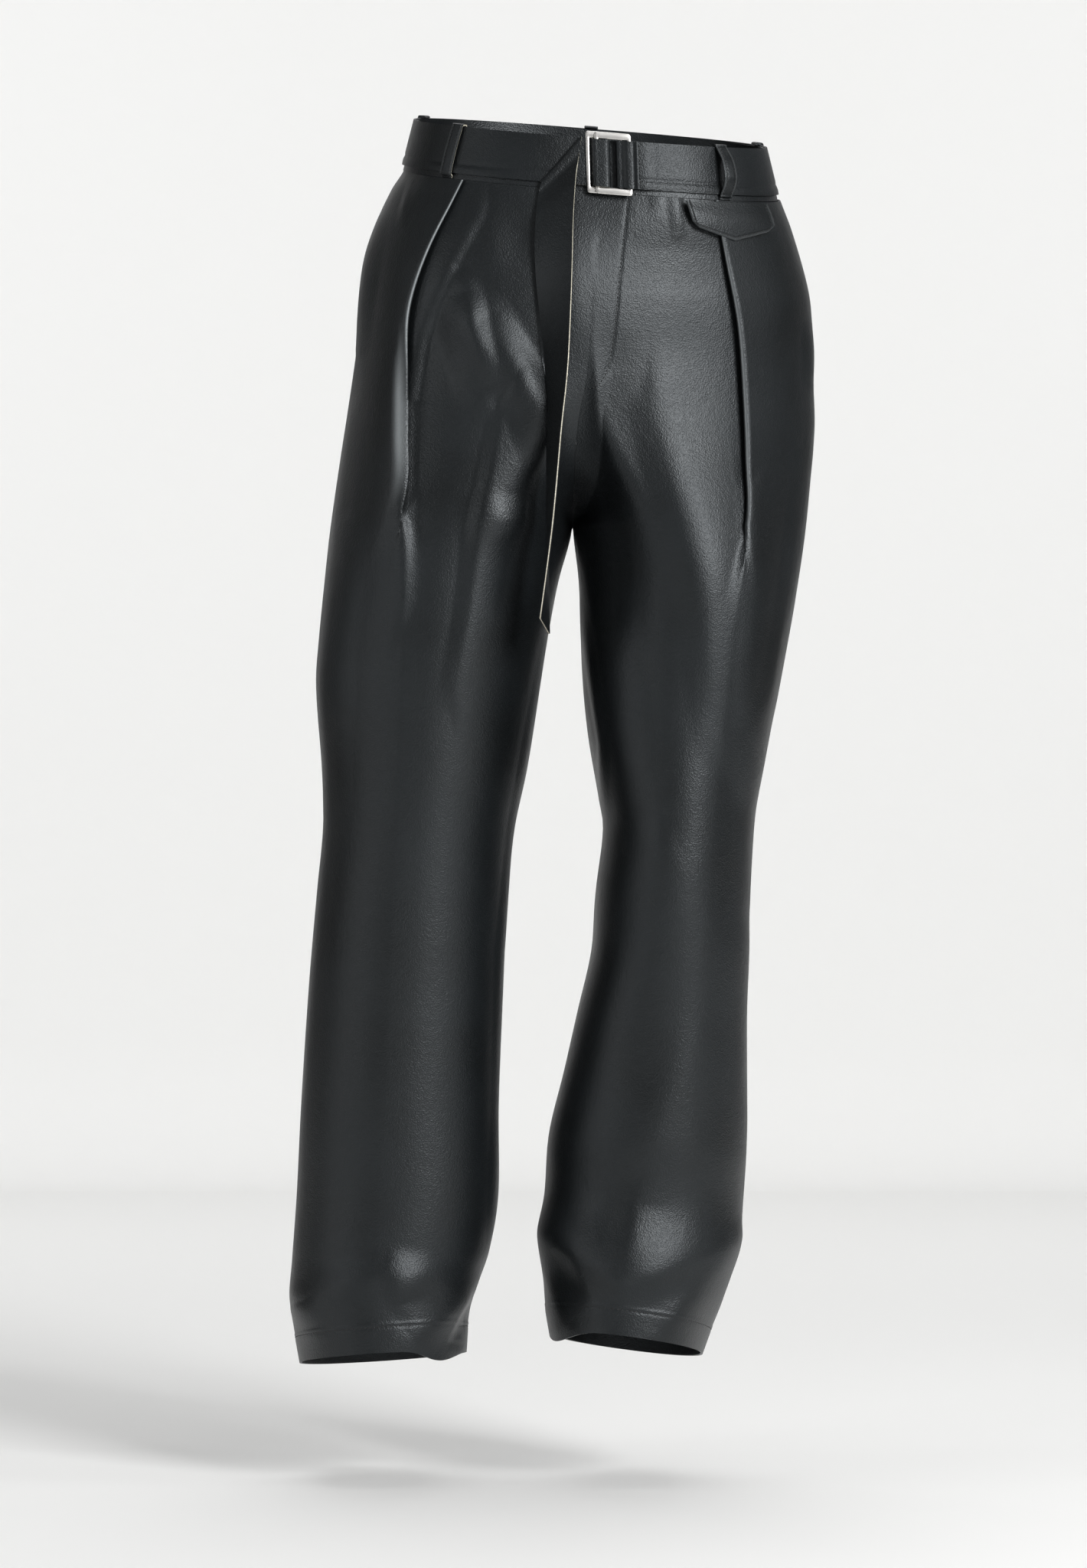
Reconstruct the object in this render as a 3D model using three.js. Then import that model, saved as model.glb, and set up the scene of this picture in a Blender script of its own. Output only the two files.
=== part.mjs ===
// Belted, pleated leather trousers, held in the shape they have when worn, in millimetres.
// +Z is up, the front faces -Y and the wearer's left is +X. The origin is the middle of the waist.
// A panel is worked out from short tables of sections. Each section of a leg is four curves, which meet
// at the outseam, at the front and back extremes and at the inner edge. Folds are added along its normal.
import * as THREE from "three";

// Driving dimensions
const clothThick = 1.2;
const hemThick = 2.2;
const seamGap = 0.3;
const waistbandThick = 2.0;
const waistbandTop = 19;
const waistbandBottom = -25;
const beltWidth = 40;
const strapThick = 1.8;
const ringThick = 1.8;
const ringSideBar = 3.0;
const ringTopBar = 5.6;
const ringOuter = { width: 30.5, height: 52.4 };
const loopWidth = 11;
const loopThick = 2.0;
const flapThick = 1.8;
const crotchHeight = -324;
const crotchDepth = 8;
const roundness = 0.6; // handle length of the section curves; 0.55 is an ellipse, more is boxier
const beltLean = { all: 0.05, sides: 0.2 }; // how far the waistband leans in per millimetre of height
const waistTilt = { x: -0.08, y: 0.144 }; // the waist dips at the front and on the wearer's left
const ringShear = -0.028;

const leatherBlack = { color: 0x26292a, roughness: 0.42, metalness: 0 };
const flapBlack = { color: 0x2b2d2e, roughness: 0.5, metalness: 0 };
const ringSteel = { color: 0xc9c8c6, roughness: 0.3, metalness: 1 };

// Sections of each leg. outer and inner are the outline's x, front and back the extremes' y,
// seam the outseam's y. Above the crotch the inner edge follows the rise instead.
const rightLeg = {
  side: -1,
  hem: { level: -1043, x: -178, slopeX: 0.07, slopeY: -0.13 },
  sections: [
    { z: 25, outer: -149, inner: 0, front: -114, back: 114, seam: 4 },
    { z: 0, outer: -154, inner: 0, front: -116, back: 116, seam: 4 },
    { z: -25, outer: -160, inner: 0, front: -118, back: 119, seam: 5 },
    { z: -43, outer: -171, inner: 0, front: -121, back: 124, seam: 6 },
    { z: -74, outer: -186, inner: 0, front: -125, back: 131, seam: 8 },
    { z: -108, outer: -196, inner: 0, front: -128, back: 138, seam: 9 },
    { z: -157, outer: -199, inner: 0, front: -129, back: 145, seam: 10 },
    { z: -210, outer: -206, inner: -6, front: -129, back: 148, seam: 10 },
    { z: -263, outer: -215, inner: -12, front: -129, back: 146, seam: 10 },
    { z: -324, outer: -224, inner: -15, front: -128, back: 140, seam: 8 },
    { z: -370, outer: -229, inner: -27, front: -127, back: 132, seam: 6 },
    { z: -423, outer: -234, inner: -37, front: -125, back: 122, seam: 4 },
    { z: -460, outer: -236, inner: -43, front: -123, back: 115, seam: 2 },
    { z: -529, outer: -230, inner: -54, front: -117, back: 104, seam: 0 },
    { z: -583, outer: -230, inner: -66, front: -112, back: 99, seam: -2 },
    { z: -636, outer: -235, inner: -71, front: -108, back: 97, seam: -2 },
    { z: -716, outer: -242, inner: -75, front: -104, back: 97, seam: -1 },
    { z: -822, outer: -249, inner: -79, front: -100, back: 98, seam: 0 },
    { z: -902, outer: -253, inner: -79, front: -98, back: 98, seam: 0 },
    { z: -955, outer: -257, inner: -87, front: -98, back: 99, seam: 0 },
    { z: -982, outer: -259, inner: -96, front: -99, back: 99, seam: 0 },
    { z: -1008, outer: -256, inner: -104, front: -101, back: 98, seam: 0 },
    { z: -1043, outer: -250, inner: -107, front: -102, back: 96, seam: 0 },
  ],
  // The pleat's folded edge, x at each height, and how deep it is folded, how far its layers stand apart
  // and how far it has opened out into a plain ridge
  pleat: [
    { z: -25, x: -102, depth: 24, pitch: 1.7, open: 0 },
    { z: -87, x: -134, depth: 21, pitch: 2.2, open: 0 },
    { z: -139, x: -152, depth: 16, pitch: 3.0, open: 0 },
    { z: -198, x: -162, depth: 10, pitch: 3.6, open: 0.1 },
    { z: -243, x: -165, depth: 5, pitch: 3.4, open: 0.35 },
    { z: -312, x: -166, depth: 0, pitch: 2.4, open: 0.85 },
    { z: -370, x: -166, depth: 0, pitch: 1.2, open: 1 },
    { z: -430, x: -166, depth: 0, pitch: 0, open: 1 },
    { z: -1043, x: -185, depth: 0, pitch: 0, open: 1 },
  ],
  // Folds of the front, each a path of [x, z] with a half width and a height, negative for a trough
  frontFolds: [
    { path: [[-100, -118], [-93, -154], [-82, -198]], half: 11, height: 4 },
    { path: [[-88, -128], [-67, -170], [-50, -204]], half: 10, height: 3.5 },
    { path: [[-76, -150], [-68, -195], [-74, -240]], half: 13, height: -4 },
    { path: [[-74, -236], [-86, -310], [-102, -400]], half: 22, height: -6 },
    { path: [[-48, -290], [-70, -310], [-88, -306]], half: 18, height: 4 },
    { path: [[-250, -987], [-221, -969], [-181, -959], [-137, -969], [-101, -985]], half: 13, height: 5 },
    { path: [[-240, -1002], [-180, -985], [-115, -1000]], half: 14, height: -5 },
    { path: [[-219, -334], [-219, -455], [-222, -560]], half: 12, height: 3 },
  ],
  backFolds: [
    { path: [[-40, -250], [-95, -305], [-170, -330]], half: 22, height: -7 },
    { path: [[-60, -350], [-120, -385], [-190, -395]], half: 18, height: -4 },
    { path: [[-95, -560], [-150, -600], [-215, -590]], half: 22, height: -5 },
    { path: [[-110, -655], [-160, -680], [-225, -665]], half: 20, height: 4 },
    { path: [[-245, -960], [-175, -985], [-112, -965]], half: 16, height: 5 },
    { path: [[-235, -1000], [-175, -1018], [-120, -1000]], half: 12, height: -4 },
  ],
};

const leftLeg = {
  side: 1,
  hem: { level: -1031, x: 31, slopeX: -0.136, slopeY: -0.15 },
  sections: [
    { z: 25, outer: 153, inner: 0, front: -114, back: 114, seam: 4 },
    { z: 0, outer: 157, inner: 0, front: -116, back: 116, seam: 4 },
    { z: -25, outer: 166, inner: 0, front: -118, back: 119, seam: 5 },
    { z: -52, outer: 176, inner: 0, front: -122, back: 126, seam: 7 },
    { z: -98, outer: 188, inner: 0, front: -127, back: 136, seam: 9 },
    { z: -130, outer: 193, inner: 0, front: -129, back: 141, seam: 10 },
    { z: -196, outer: 195, inner: 0, front: -130, back: 148, seam: 10 },
    { z: -237, outer: 196, inner: -10, front: -130, back: 147, seam: 10 },
    { z: -290, outer: 191, inner: -13, front: -130, back: 144, seam: 10 },
    { z: -324, outer: 187, inner: -13, front: -130, back: 140, seam: 10 },
    { z: -370, outer: 180, inner: -8, front: -130, back: 134, seam: 10 },
    { z: -450, outer: 165, inner: -5, front: -130, back: 124, seam: 10 },
    { z: -503, outer: 154, inner: 0, front: -129, back: 117, seam: 10 },
    { z: -556, outer: 144, inner: 9, front: -127, back: 112, seam: 8 },
    { z: -583, outer: 141, inner: 13, front: -125, back: 110, seam: 6 },
    { z: -636, outer: 139, inner: 7, front: -120, back: 107, seam: 4 },
    { z: -689, outer: 139, inner: 3, front: -115, back: 105, seam: 2 },
    { z: -742, outer: 137, inner: -9, front: -110, back: 104, seam: 0 },
    { z: -795, outer: 137, inner: -21, front: -106, back: 103, seam: 0 },
    { z: -849, outer: 137, inner: -34, front: -103, back: 103, seam: 0 },
    { z: -902, outer: 134, inner: -38, front: -101, back: 103, seam: 0 },
    { z: -942, outer: 129, inner: -44, front: -101, back: 102, seam: 0 },
    { z: -982, outer: 116, inner: -39, front: -103, back: 100, seam: 0 },
    { z: -1008, outer: 106, inner: -37, front: -105, back: 97, seam: 0 },
    { z: -1031, outer: 98, inner: -33, front: -106, back: 94, seam: 0 },
  ],
  pleat: [
    { z: -25, x: 107, depth: 24, pitch: 1.7, open: 0 },
    { z: -82, x: 115, depth: 21, pitch: 2.2, open: 0 },
    { z: -152, x: 125, depth: 16, pitch: 3.0, open: 0 },
    { z: -204, x: 129, depth: 11, pitch: 3.5, open: 0.05 },
    { z: -269, x: 131, depth: 5, pitch: 3.4, open: 0.3 },
    { z: -330, x: 128, depth: 0, pitch: 2.6, open: 0.75 },
    { z: -390, x: 121, depth: 0, pitch: 1.2, open: 1 },
    { z: -440, x: 116, depth: 0, pitch: 0, open: 1 },
    { z: -1031, x: 70, depth: 0, pitch: 0, open: 1 },
  ],
  frontFolds: [
    { path: [[52, -75], [84, -219], [114, -330]], half: 26, height: 4 },
    { path: [[30, -120], [55, -260], [80, -400]], half: 22, height: -4 },
    { path: [[138, -290], [136, -420], [138, -560]], half: 13, height: 3.5 },
    { path: [[178, -290], [168, -390], [140, -486]], half: 11, height: 3 },
    { path: [[-38, -925], [0, -910], [40, -903], [84, -914], [124, -934]], half: 16, height: -6 },
    { path: [[30, -925], [25, -967]], half: 12, height: 5 },
    { path: [[45, -962], [91, -950], [124, -937]], half: 12, height: 4 },
    { path: [[-36, -948], [-8, -958], [20, -975]], half: 12, height: 3 },
    { path: [[70, -690], [40, -780], [0, -860]], half: 24, height: -4 },
  ],
  backFolds: [
    { path: [[30, -250], [85, -305], [150, -330]], half: 22, height: -7 },
    { path: [[30, -350], [85, -385], [150, -395]], half: 18, height: -4 },
    { path: [[20, -560], [75, -600], [130, -590]], half: 22, height: -6 },
    { path: [[18, -660], [75, -685], [130, -670]], half: 20, height: 4 },
    { path: [[-30, -925], [40, -955], [115, -930]], half: 16, height: -6 },
    { path: [[-25, -965], [40, -990], [105, -965]], half: 14, height: 5 },
  ],
};

// Bands of rows from the waist to the hem: each ends at a height and has so many steps.
// The bands below the crotch end at a share of the way to the hem.
const riseBands = [
  { end: -110, steps: 5 },
  { end: -270, steps: 8 },
  { end: -324, steps: 5 },
];
const legBands = [
  { share: 0.33, steps: 5 },
  { share: 0.78, steps: 4 },
  { share: 1, steps: 8 },
];

// Smooth step from 0 to 1 between two values.
function ease(value, from, to) {
  const t = Math.min(1, Math.max(0, (value - from) / (to - from)));
  return t * t * (3 - 2 * t);
}

function lerp(a, b, t) {
  return a + (b - a) * t;
}

// A table's column at a height, by a cubic through its rows with Catmull-Rom slopes.
function along(table, key, z) {
  const last = table.length - 1;
  const zc = Math.min(table[0].z, Math.max(table[last].z, z));
  let i = 0;
  while (i < last - 1 && zc < table[i + 1].z) i += 1;
  const slope = (k) => {
    const a = table[Math.max(0, k - 1)];
    const b = table[Math.min(last, k + 1)];
    return (b[key] - a[key]) / (b.z - a.z);
  };
  const a = table[i];
  const b = table[i + 1];
  const span = b.z - a.z;
  const t = (zc - a.z) / span;
  const t2 = t * t;
  const t3 = t2 * t;
  return (
    (2 * t3 - 3 * t2 + 1) * a[key] +
    (t3 - 2 * t2 + t) * span * slope(i) +
    (3 * t2 - 2 * t3) * b[key] +
    (t3 - t2) * span * slope(i + 1)
  );
}

// The inner edge of a panel: the rise down to the crotch, then the inseam. turn is the angle of
// the cloth there, 0 across the body and a quarter turn straight back.
function innerEdge(leg, half, z) {
  const inner = along(leg.sections, "inner", z);
  if (z <= crotchHeight) return { x: inner, y: crotchDepth * ease(z, -700, crotchHeight), turn: Math.PI / 2 };
  const down = Math.max(0, z / crotchHeight);
  const y = along(leg.sections, half, z) * (1 - 0.03 * down);
  const turn = (Math.PI / 2) * down ** 5;
  const middle = (along(rightLeg.sections, "inner", z) + along(leftLeg.sections, "inner", z)) / 2;
  const clear = seamGap / 2 + (clothThick / 2 + 0.05) * Math.sin(turn);
  return { x: middle + leg.side * clear, y: lerp(y, crotchDepth, down ** 8), turn };
}

// A point of a cubic curve in plan.
function cubic(p, t) {
  const s = 1 - t;
  const w = [s * s * s, 3 * s * s * t, 3 * s * t * t, t * t * t];
  return [0, 1].map((k) => w[0] * p[0][k] + w[1] * p[1][k] + w[2] * p[2][k] + w[3] * p[3][k]);
}

// A half section, from the outseam round the extreme of its half to the inner edge: a curve from the
// outseam that leaves it straight to the front or back, then one that ends at the inner edge's turn.
const curveSteps = 28;
const sectionStore = new Map();
function section(leg, half, z) {
  const name = `${leg.side} ${half} ${z}`;
  if (sectionStore.has(name)) return sectionStore.get(name);
  const facing = half === "front" ? -1 : 1;
  const edge = innerEdge(leg, half, z);
  const seam = [along(leg.sections, "outer", z), along(leg.sections, "seam", z)];
  const top = [0, along(leg.sections, half, z)];
  const share = z > crotchHeight ? lerp(0.15, 0.46, ease(z, -20, crotchHeight)) : lerp(0.46, 0.5, ease(z, crotchHeight, -560));
  top[0] = lerp(edge.x, seam[0], share);
  const reachY = Math.abs(top[1] - seam[1]) * roundness;
  const reachX = Math.abs(top[0] - seam[0]) * roundness;
  const first = [seam, [seam[0], seam[1] + facing * reachY], [top[0] + leg.side * reachX, top[1]], top];
  const dx = Math.abs(top[0] - edge.x);
  const dy = Math.abs(top[1] - edge.y);
  const reachIn = Math.hypot(dx * Math.cos(edge.turn), dy * Math.sin(edge.turn)) * roundness;
  const second = [
    top,
    [top[0] - leg.side * dx * roundness, top[1]],
    [
      edge.x + leg.side * reachIn * Math.cos(edge.turn),
      edge.y + facing * reachIn * Math.sin(edge.turn),
    ],
    [edge.x, edge.y],
  ];
  const points = [];
  for (let i = 0; i < curveSteps; i += 1) points.push(cubic(first, i / curveSteps));
  for (let i = 0; i <= curveSteps; i += 1) points.push(cubic(second, i / curveSteps));
  const lengths = [0];
  for (let i = 1; i < points.length; i += 1) {
    const step = Math.hypot(points[i][0] - points[i - 1][0], points[i][1] - points[i - 1][1]);
    lengths.push(lengths[i - 1] + step);
  }
  const made = { points, lengths, total: lengths[lengths.length - 1] };
  sectionStore.set(name, made);
  return made;
}

// The point and outward normal of a half section at a distance from the outseam.
function onSection(leg, half, z, distance) {
  const { points, lengths, total } = section(leg, half, z);
  const d = Math.min(total, Math.max(0, distance));
  let i = 1;
  while (i < lengths.length - 1 && lengths[i] < d) i += 1;
  const t = (d - lengths[i - 1]) / (lengths[i] - lengths[i - 1]);
  const a = points[i - 1];
  const b = points[i];
  const tangent = [b[0] - a[0], b[1] - a[1]];
  const size = Math.hypot(...tangent);
  const turn = leg.side * (half === "front" ? 1 : -1);
  return {
    x: lerp(a[0], b[0], t),
    y: lerp(a[1], b[1], t),
    nx: (turn * -tangent[1]) / size,
    ny: (turn * tangent[0]) / size,
  };
}

// The distance from the outseam at which a half section reaches x.
function distanceAt(leg, half, z, x) {
  const { points, lengths } = section(leg, half, z);
  for (let i = 1; i < points.length; i += 1) {
    const before = (points[i - 1][0] - x) * leg.side;
    const after = (points[i][0] - x) * leg.side;
    if (before >= 0 && after <= 0) return lerp(lengths[i - 1], lengths[i], before / (before - after));
  }
  return lengths[lengths.length - 1];
}

// The lift of the waist and the hem at a point: both are planes that tilt, and fade out between.
function lift(leg, x, y, z) {
  const waist = (waistTilt.x * x + waistTilt.y * y) * ease(z, -170, -25);
  const hem = leg.hem;
  return waist + (hem.slopeX * (x - hem.x) + hem.slopeY * y) * ease(z, -880, -1000);
}

// The height of a fold at [x, z]: a rounded bell across its path that fades at both ends.
function foldHeight(fold, x, z) {
  let best = Infinity;
  let share = 0;
  const spans = fold.path.length - 1;
  for (let i = 0; i < spans; i += 1) {
    const [ax, az] = fold.path[i];
    const [bx, bz] = fold.path[i + 1];
    const span = (bx - ax) ** 2 + (bz - az) ** 2;
    const t = Math.min(1, Math.max(0, ((x - ax) * (bx - ax) + (z - az) * (bz - az)) / span));
    const away = Math.hypot(x - lerp(ax, bx, t), z - lerp(az, bz, t));
    if (away < best) {
      best = away;
      share = (i + t) / spans;
    }
  }
  const across = Math.max(0, 1 - (best / (2 * fold.half)) ** 2);
  return fold.height * across * across * Math.sin(Math.PI * lerp(0.12, 0.88, share));
}

// The heights of the rows of a panel, from just under the waistband to the hem.
function rowHeights(leg) {
  const heights = [waistbandBottom - seamGap];
  for (const band of riseBands) {
    const from = heights[heights.length - 1];
    for (let i = 1; i <= band.steps; i += 1) heights.push(lerp(from, band.end, i / band.steps));
  }
  const length = leg.hem.level - crotchHeight;
  let from = 0;
  for (const band of legBands) {
    for (let i = 1; i <= band.steps; i += 1) {
      heights.push(crotchHeight + length * lerp(from, band.share, i / band.steps));
    }
    from = band.share;
  }
  return heights;
}

// The columns of a front panel at one height: a distance from the outseam and an outward offset.
// The cloth runs in from the outseam, turns under at the pleat's edge, runs back, turns again and
// goes on to the inner edge. Lower down the same columns spread out into a plain ridge.
const outerRun = 6;
const innerRun = 8;
const turnAngles = [Math.PI / 6, Math.PI / 2, (5 * Math.PI) / 6];
function pleatColumns(leg, z, total) {
  const edge = distanceAt(leg, "front", z, along(leg.pleat, "x", z));
  const depth = Math.max(0, along(leg.pleat, "depth", z));
  const pitch = Math.max(0, along(leg.pleat, "pitch", z));
  const open = Math.min(1, Math.max(0, along(leg.pleat, "open", z)));
  const rise = 34;
  const folded = [];
  for (let i = 0; i < outerRun; i += 1) {
    const d = ((edge - 5) * i) / (outerRun - 1);
    folded.push([d, 2 * pitch * ease(d, edge - rise, edge - 4)]);
  }
  const radius = pitch / 2;
  for (const a of turnAngles) folded.push([edge + radius * Math.sin(a), 1.5 * pitch + radius * Math.cos(a)]);
  folded.push([edge - depth / 2, pitch]);
  for (const a of turnAngles) {
    folded.push([edge - depth - radius * Math.sin(a), 0.5 * pitch + radius * Math.cos(a)]);
  }
  for (let i = 1; i <= innerRun; i += 1) {
    folded.push([lerp(edge - depth + 3, total, (i / innerRun) ** 0.9), 0]);
  }
  return folded.map(([d, out], j) => {
    const plain = (total * j) / (folded.length - 1);
    const ridge = 2 * pitch * ease(plain, edge - 45, edge - 4) * (1 - ease(plain, edge - 4, edge + 16));
    return [lerp(d, plain, open), lerp(out, ridge, open)];
  });
}

const backSteps = 13;
function backColumns(total) {
  return Array.from({ length: backSteps + 1 }, (_, j) => [(total * j) / backSteps, 0]);
}

// A panel's grid of middle-surface points, row by row from the waist, from the outseam inwards.
function panelGrid(leg, half) {
  const folds = half === "front" ? leg.frontFolds : leg.backFolds;
  return rowHeights(leg).map((z) => {
    const { total } = section(leg, half, z);
    const columns = half === "front" ? pleatColumns(leg, z, total) : backColumns(total);
    return columns.map(([distance, out], j) => {
      const clear = z > crotchHeight && j === columns.length - 1 ? 0 : seamGap / 2;
      const d = Math.min(total - clear, Math.max(seamGap / 2, distance));
      const p = onSection(leg, half, z, d);
      const nearEdge = Math.min(1, Math.min(d, total - d) / 22);
      let push = out;
      for (const fold of folds) push += foldHeight(fold, p.x, z) * nearEdge;
      const x = p.x + p.nx * push;
      const y = p.y + p.ny * push;
      return new THREE.Vector3(x, y, z + lift(leg, p.x, p.y, z));
    });
  });
}

// The normal of a grid at each point, across the directions along its rows and its columns.
function gridNormals(grid, closed) {
  const rows = grid.length;
  const cols = grid[0].length;
  const ahead = (line, k, count, wrap) => {
    if (wrap) return line((k + 1) % count).clone().sub(line((k - 1 + count) % count));
    if (k > 0 && k < count - 1) return line(k + 1).clone().sub(line(k - 1));
    const sign = k === 0 ? 1 : -1;
    const one = line(k + sign);
    const two = line(k + 2 * sign);
    return line(k).clone().multiplyScalar(-3).addScaledVector(one, 4).sub(two).multiplyScalar(sign);
  };
  return grid.map((row, i) =>
    row.map((_, j) => {
      const across = ahead((k) => grid[i][k], j, cols, closed);
      const down = ahead((k) => grid[k][j], i, rows, false);
      return across.cross(down).normalize();
    }),
  );
}

// A closed wall from a grid of middle points: both faces and the edges between them. closed joins
// the last column to the first, facing turns the normals outwards where the grid runs the other way,
// and levelTop and levelEnd keep the first and last rows' edges level, where another piece meets them.
function wall(grid, thick, { facing = 1, closed = false, levelTop = false, levelEnd = false } = {}) {
  const rows = grid.length;
  const cols = grid[0].length;
  const normals = gridNormals(grid, closed);
  if (levelTop) normals[0].forEach((n) => n.setZ(0).normalize());
  if (levelEnd) normals[rows - 1].forEach((n) => n.setZ(0).normalize());
  const points = [];
  for (const side of [0.5, -0.5]) {
    grid.forEach((row, i) =>
      row.forEach((p, j) => {
        const t = typeof thick === "function" ? thick(p) : thick;
        points.push(p.clone().addScaledVector(normals[i][j], side * t * facing));
      }),
    );
  }
  const half = rows * cols;
  const at = (layer, i, j) => layer * half + i * cols + (j % cols);
  const faces = [];
  const quad = (a, b, c, d) => {
    if (facing > 0) faces.push(a, b, c, a, c, d);
    else faces.push(a, c, b, a, d, c);
  };
  const spans = closed ? cols : cols - 1;
  for (let i = 0; i < rows - 1; i += 1) {
    for (let j = 0; j < spans; j += 1) {
      quad(at(0, i, j), at(0, i, j + 1), at(0, i + 1, j + 1), at(0, i + 1, j));
      quad(at(1, i, j), at(1, i + 1, j), at(1, i + 1, j + 1), at(1, i, j + 1));
    }
  }
  for (let j = 0; j < spans; j += 1) {
    quad(at(0, 0, j), at(1, 0, j), at(1, 0, j + 1), at(0, 0, j + 1));
    quad(at(0, rows - 1, j), at(0, rows - 1, j + 1), at(1, rows - 1, j + 1), at(1, rows - 1, j));
  }
  if (!closed) {
    for (let i = 0; i < rows - 1; i += 1) {
      quad(at(0, i, 0), at(0, i + 1, 0), at(1, i + 1, 0), at(1, i, 0));
      quad(at(0, i, cols - 1), at(1, i, cols - 1), at(1, i + 1, cols - 1), at(0, i + 1, cols - 1));
    }
  }
  const geometry = new THREE.BufferGeometry();
  geometry.setAttribute("position", new THREE.Float32BufferAttribute(points.flatMap((p) => p.toArray()), 3));
  geometry.setIndex(faces);
  return geometry;
}

// Twice the volume-weighted sign tells whether a closed mesh faces out.
function facesOut(geometry) {
  const p = geometry.getAttribute("position");
  const index = geometry.index;
  let volume = 0;
  const v = [0, 1, 2].map(() => new THREE.Vector3());
  for (let i = 0; i < index.count; i += 3) {
    v.forEach((c, k) => c.fromBufferAttribute(p, index.getX(i + k)));
    volume += v[0].dot(v[1].clone().cross(v[2]));
  }
  return volume > 0;
}

const trousers = new THREE.Group();
function add(name, geometry, finish) {
  if (!facesOut(geometry)) throw new Error(`${name} is inside out`);
  const mesh = new THREE.Mesh(geometry, new THREE.MeshStandardMaterial(finish));
  mesh.name = name;
  trousers.add(mesh);
}

// The four leg panels
const hemTop = 24;
for (const [legName, leg] of [["right", rightLeg], ["left", leftLeg]]) {
  const thick = (p) => {
    const level = leg.hem.level + leg.hem.slopeX * (p.x - leg.hem.x) + leg.hem.slopeY * p.y;
    return lerp(hemThick, clothThick, ease(p.z, level + hemTop, level + hemTop + 6));
  };
  for (const half of ["front", "back"]) {
    const facing = leg.side * (half === "front" ? 1 : -1);
    add(`${half}_${legName}`, wall(panelGrid(leg, half), thick, { facing, levelTop: true }), leatherBlack);
  }
}

// The waist's course in plan, from the middle of the front to the wearer's left and on round the back,
// as the section at the belt's middle
const waistPoints = [];
for (const [leg, half, inwards] of [
  [leftLeg, "front", false],
  [leftLeg, "back", true],
  [rightLeg, "back", false],
  [rightLeg, "front", true],
]) {
  const points = section(leg, half, 0).points.map(([x, y]) => [x, y]);
  if (!inwards) points.reverse();
  waistPoints.push(...points.slice(1));
}
const waistCurve = new THREE.CatmullRomCurve3(
  waistPoints.filter((_, i) => i % 7 === 0).map(([x, y]) => new THREE.Vector3(x, y, 0)),
  true,
);
waistCurve.arcLengthDivisions = 900;
const waistLength = waistCurve.getLength();

// The distance along the waist's course at which it crosses the middle of the front.
function findFrontMiddle() {
  let best = 0;
  let least = Infinity;
  for (let i = 0; i < 2000; i += 1) {
    const p = waistCurve.getPointAt(i / 2000);
    if (p.y < 0 && Math.abs(p.x) < least) {
      least = Math.abs(p.x);
      best = (i / 2000) * waistLength;
    }
  }
  return best;
}
const frontMiddle = findFrontMiddle();

// A point on the waist: along it from the middle of the front, out from the waistband's middle and up.
// The band leans in towards the top, more so at the sides.
function onWaist(s, out, up) {
  const u = (((frontMiddle + s + ringShear * up) / waistLength) % 1 + 1) % 1;
  const p = waistCurve.getPointAt(u);
  const t = waistCurve.getTangentAt(u);
  const normal = new THREE.Vector3(t.y, -t.x, 0);
  const lean = -up * (beltLean.all + beltLean.sides * normal.x * normal.x);
  p.addScaledVector(normal, out + lean);
  p.z = up + waistTilt.x * p.x + waistTilt.y * p.y;
  return p;
}

// The waistband, a closed ring
const waistSteps = 64;
const bandGrid = [waistbandTop, (waistbandTop + waistbandBottom) / 2, waistbandBottom].map((up) =>
  Array.from({ length: waistSteps }, (_, i) => onWaist((waistLength * i) / waistSteps, 0, up)),
);
add("waistband", wall(bandGrid, waistbandThick, { closed: true, levelTop: true, levelEnd: true }), leatherBlack);

// Places on the belt: levels are the middles of layers, counted out from the waistband's middle
const layer = strapThick + seamGap;
const bandFace = waistbandThick / 2 + seamGap;
const levels = {
  strap: bandFace + strapThick / 2,
  tailUnder: bandFace + strapThick / 2 + layer,
  ringInner: bandFace + strapThick * 2 + seamGap * 2 + ringThick / 2,
  ringOuter: bandFace + strapThick * 2 + seamGap * 3 + ringThick * 1.5,
  over: bandFace + strapThick * 2 + seamGap * 4 + ringThick * 2 + strapThick / 2,
};
const innerRingLeft = -2.9;
const outerRingLeft = 4.6;
const stitchLine = 40.7;
const strapFoldRight = 17.6;

// A strip that follows [s, out] stations on the waist, as wide as the belt.
function beltStrip(stations) {
  return [beltWidth / 2, 0, -beltWidth / 2].map((up) => stations.map(([s, out]) => onWaist(s, out, up)));
}

// The strap runs from the stitch row round the back to its fold in the rings.
const waistStep = waistLength / waistSteps;
const strapStations = [
  [stitchLine + seamGap, levels.tailUnder],
  [stitchLine + 7, levels.tailUnder],
  [stitchLine + 14, (levels.strap + levels.tailUnder) / 2],
];
const firstStep = Math.ceil((stitchLine + 20) / waistStep);
for (let i = firstStep; i <= waistSteps; i += 1) strapStations.push([i * waistStep, levels.strap]);
strapStations.push([waistLength + strapFoldRight - 4.6, levels.strap]);
add("belt_strap", wall(beltStrip(strapStations), strapThick), leatherBlack);

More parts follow.
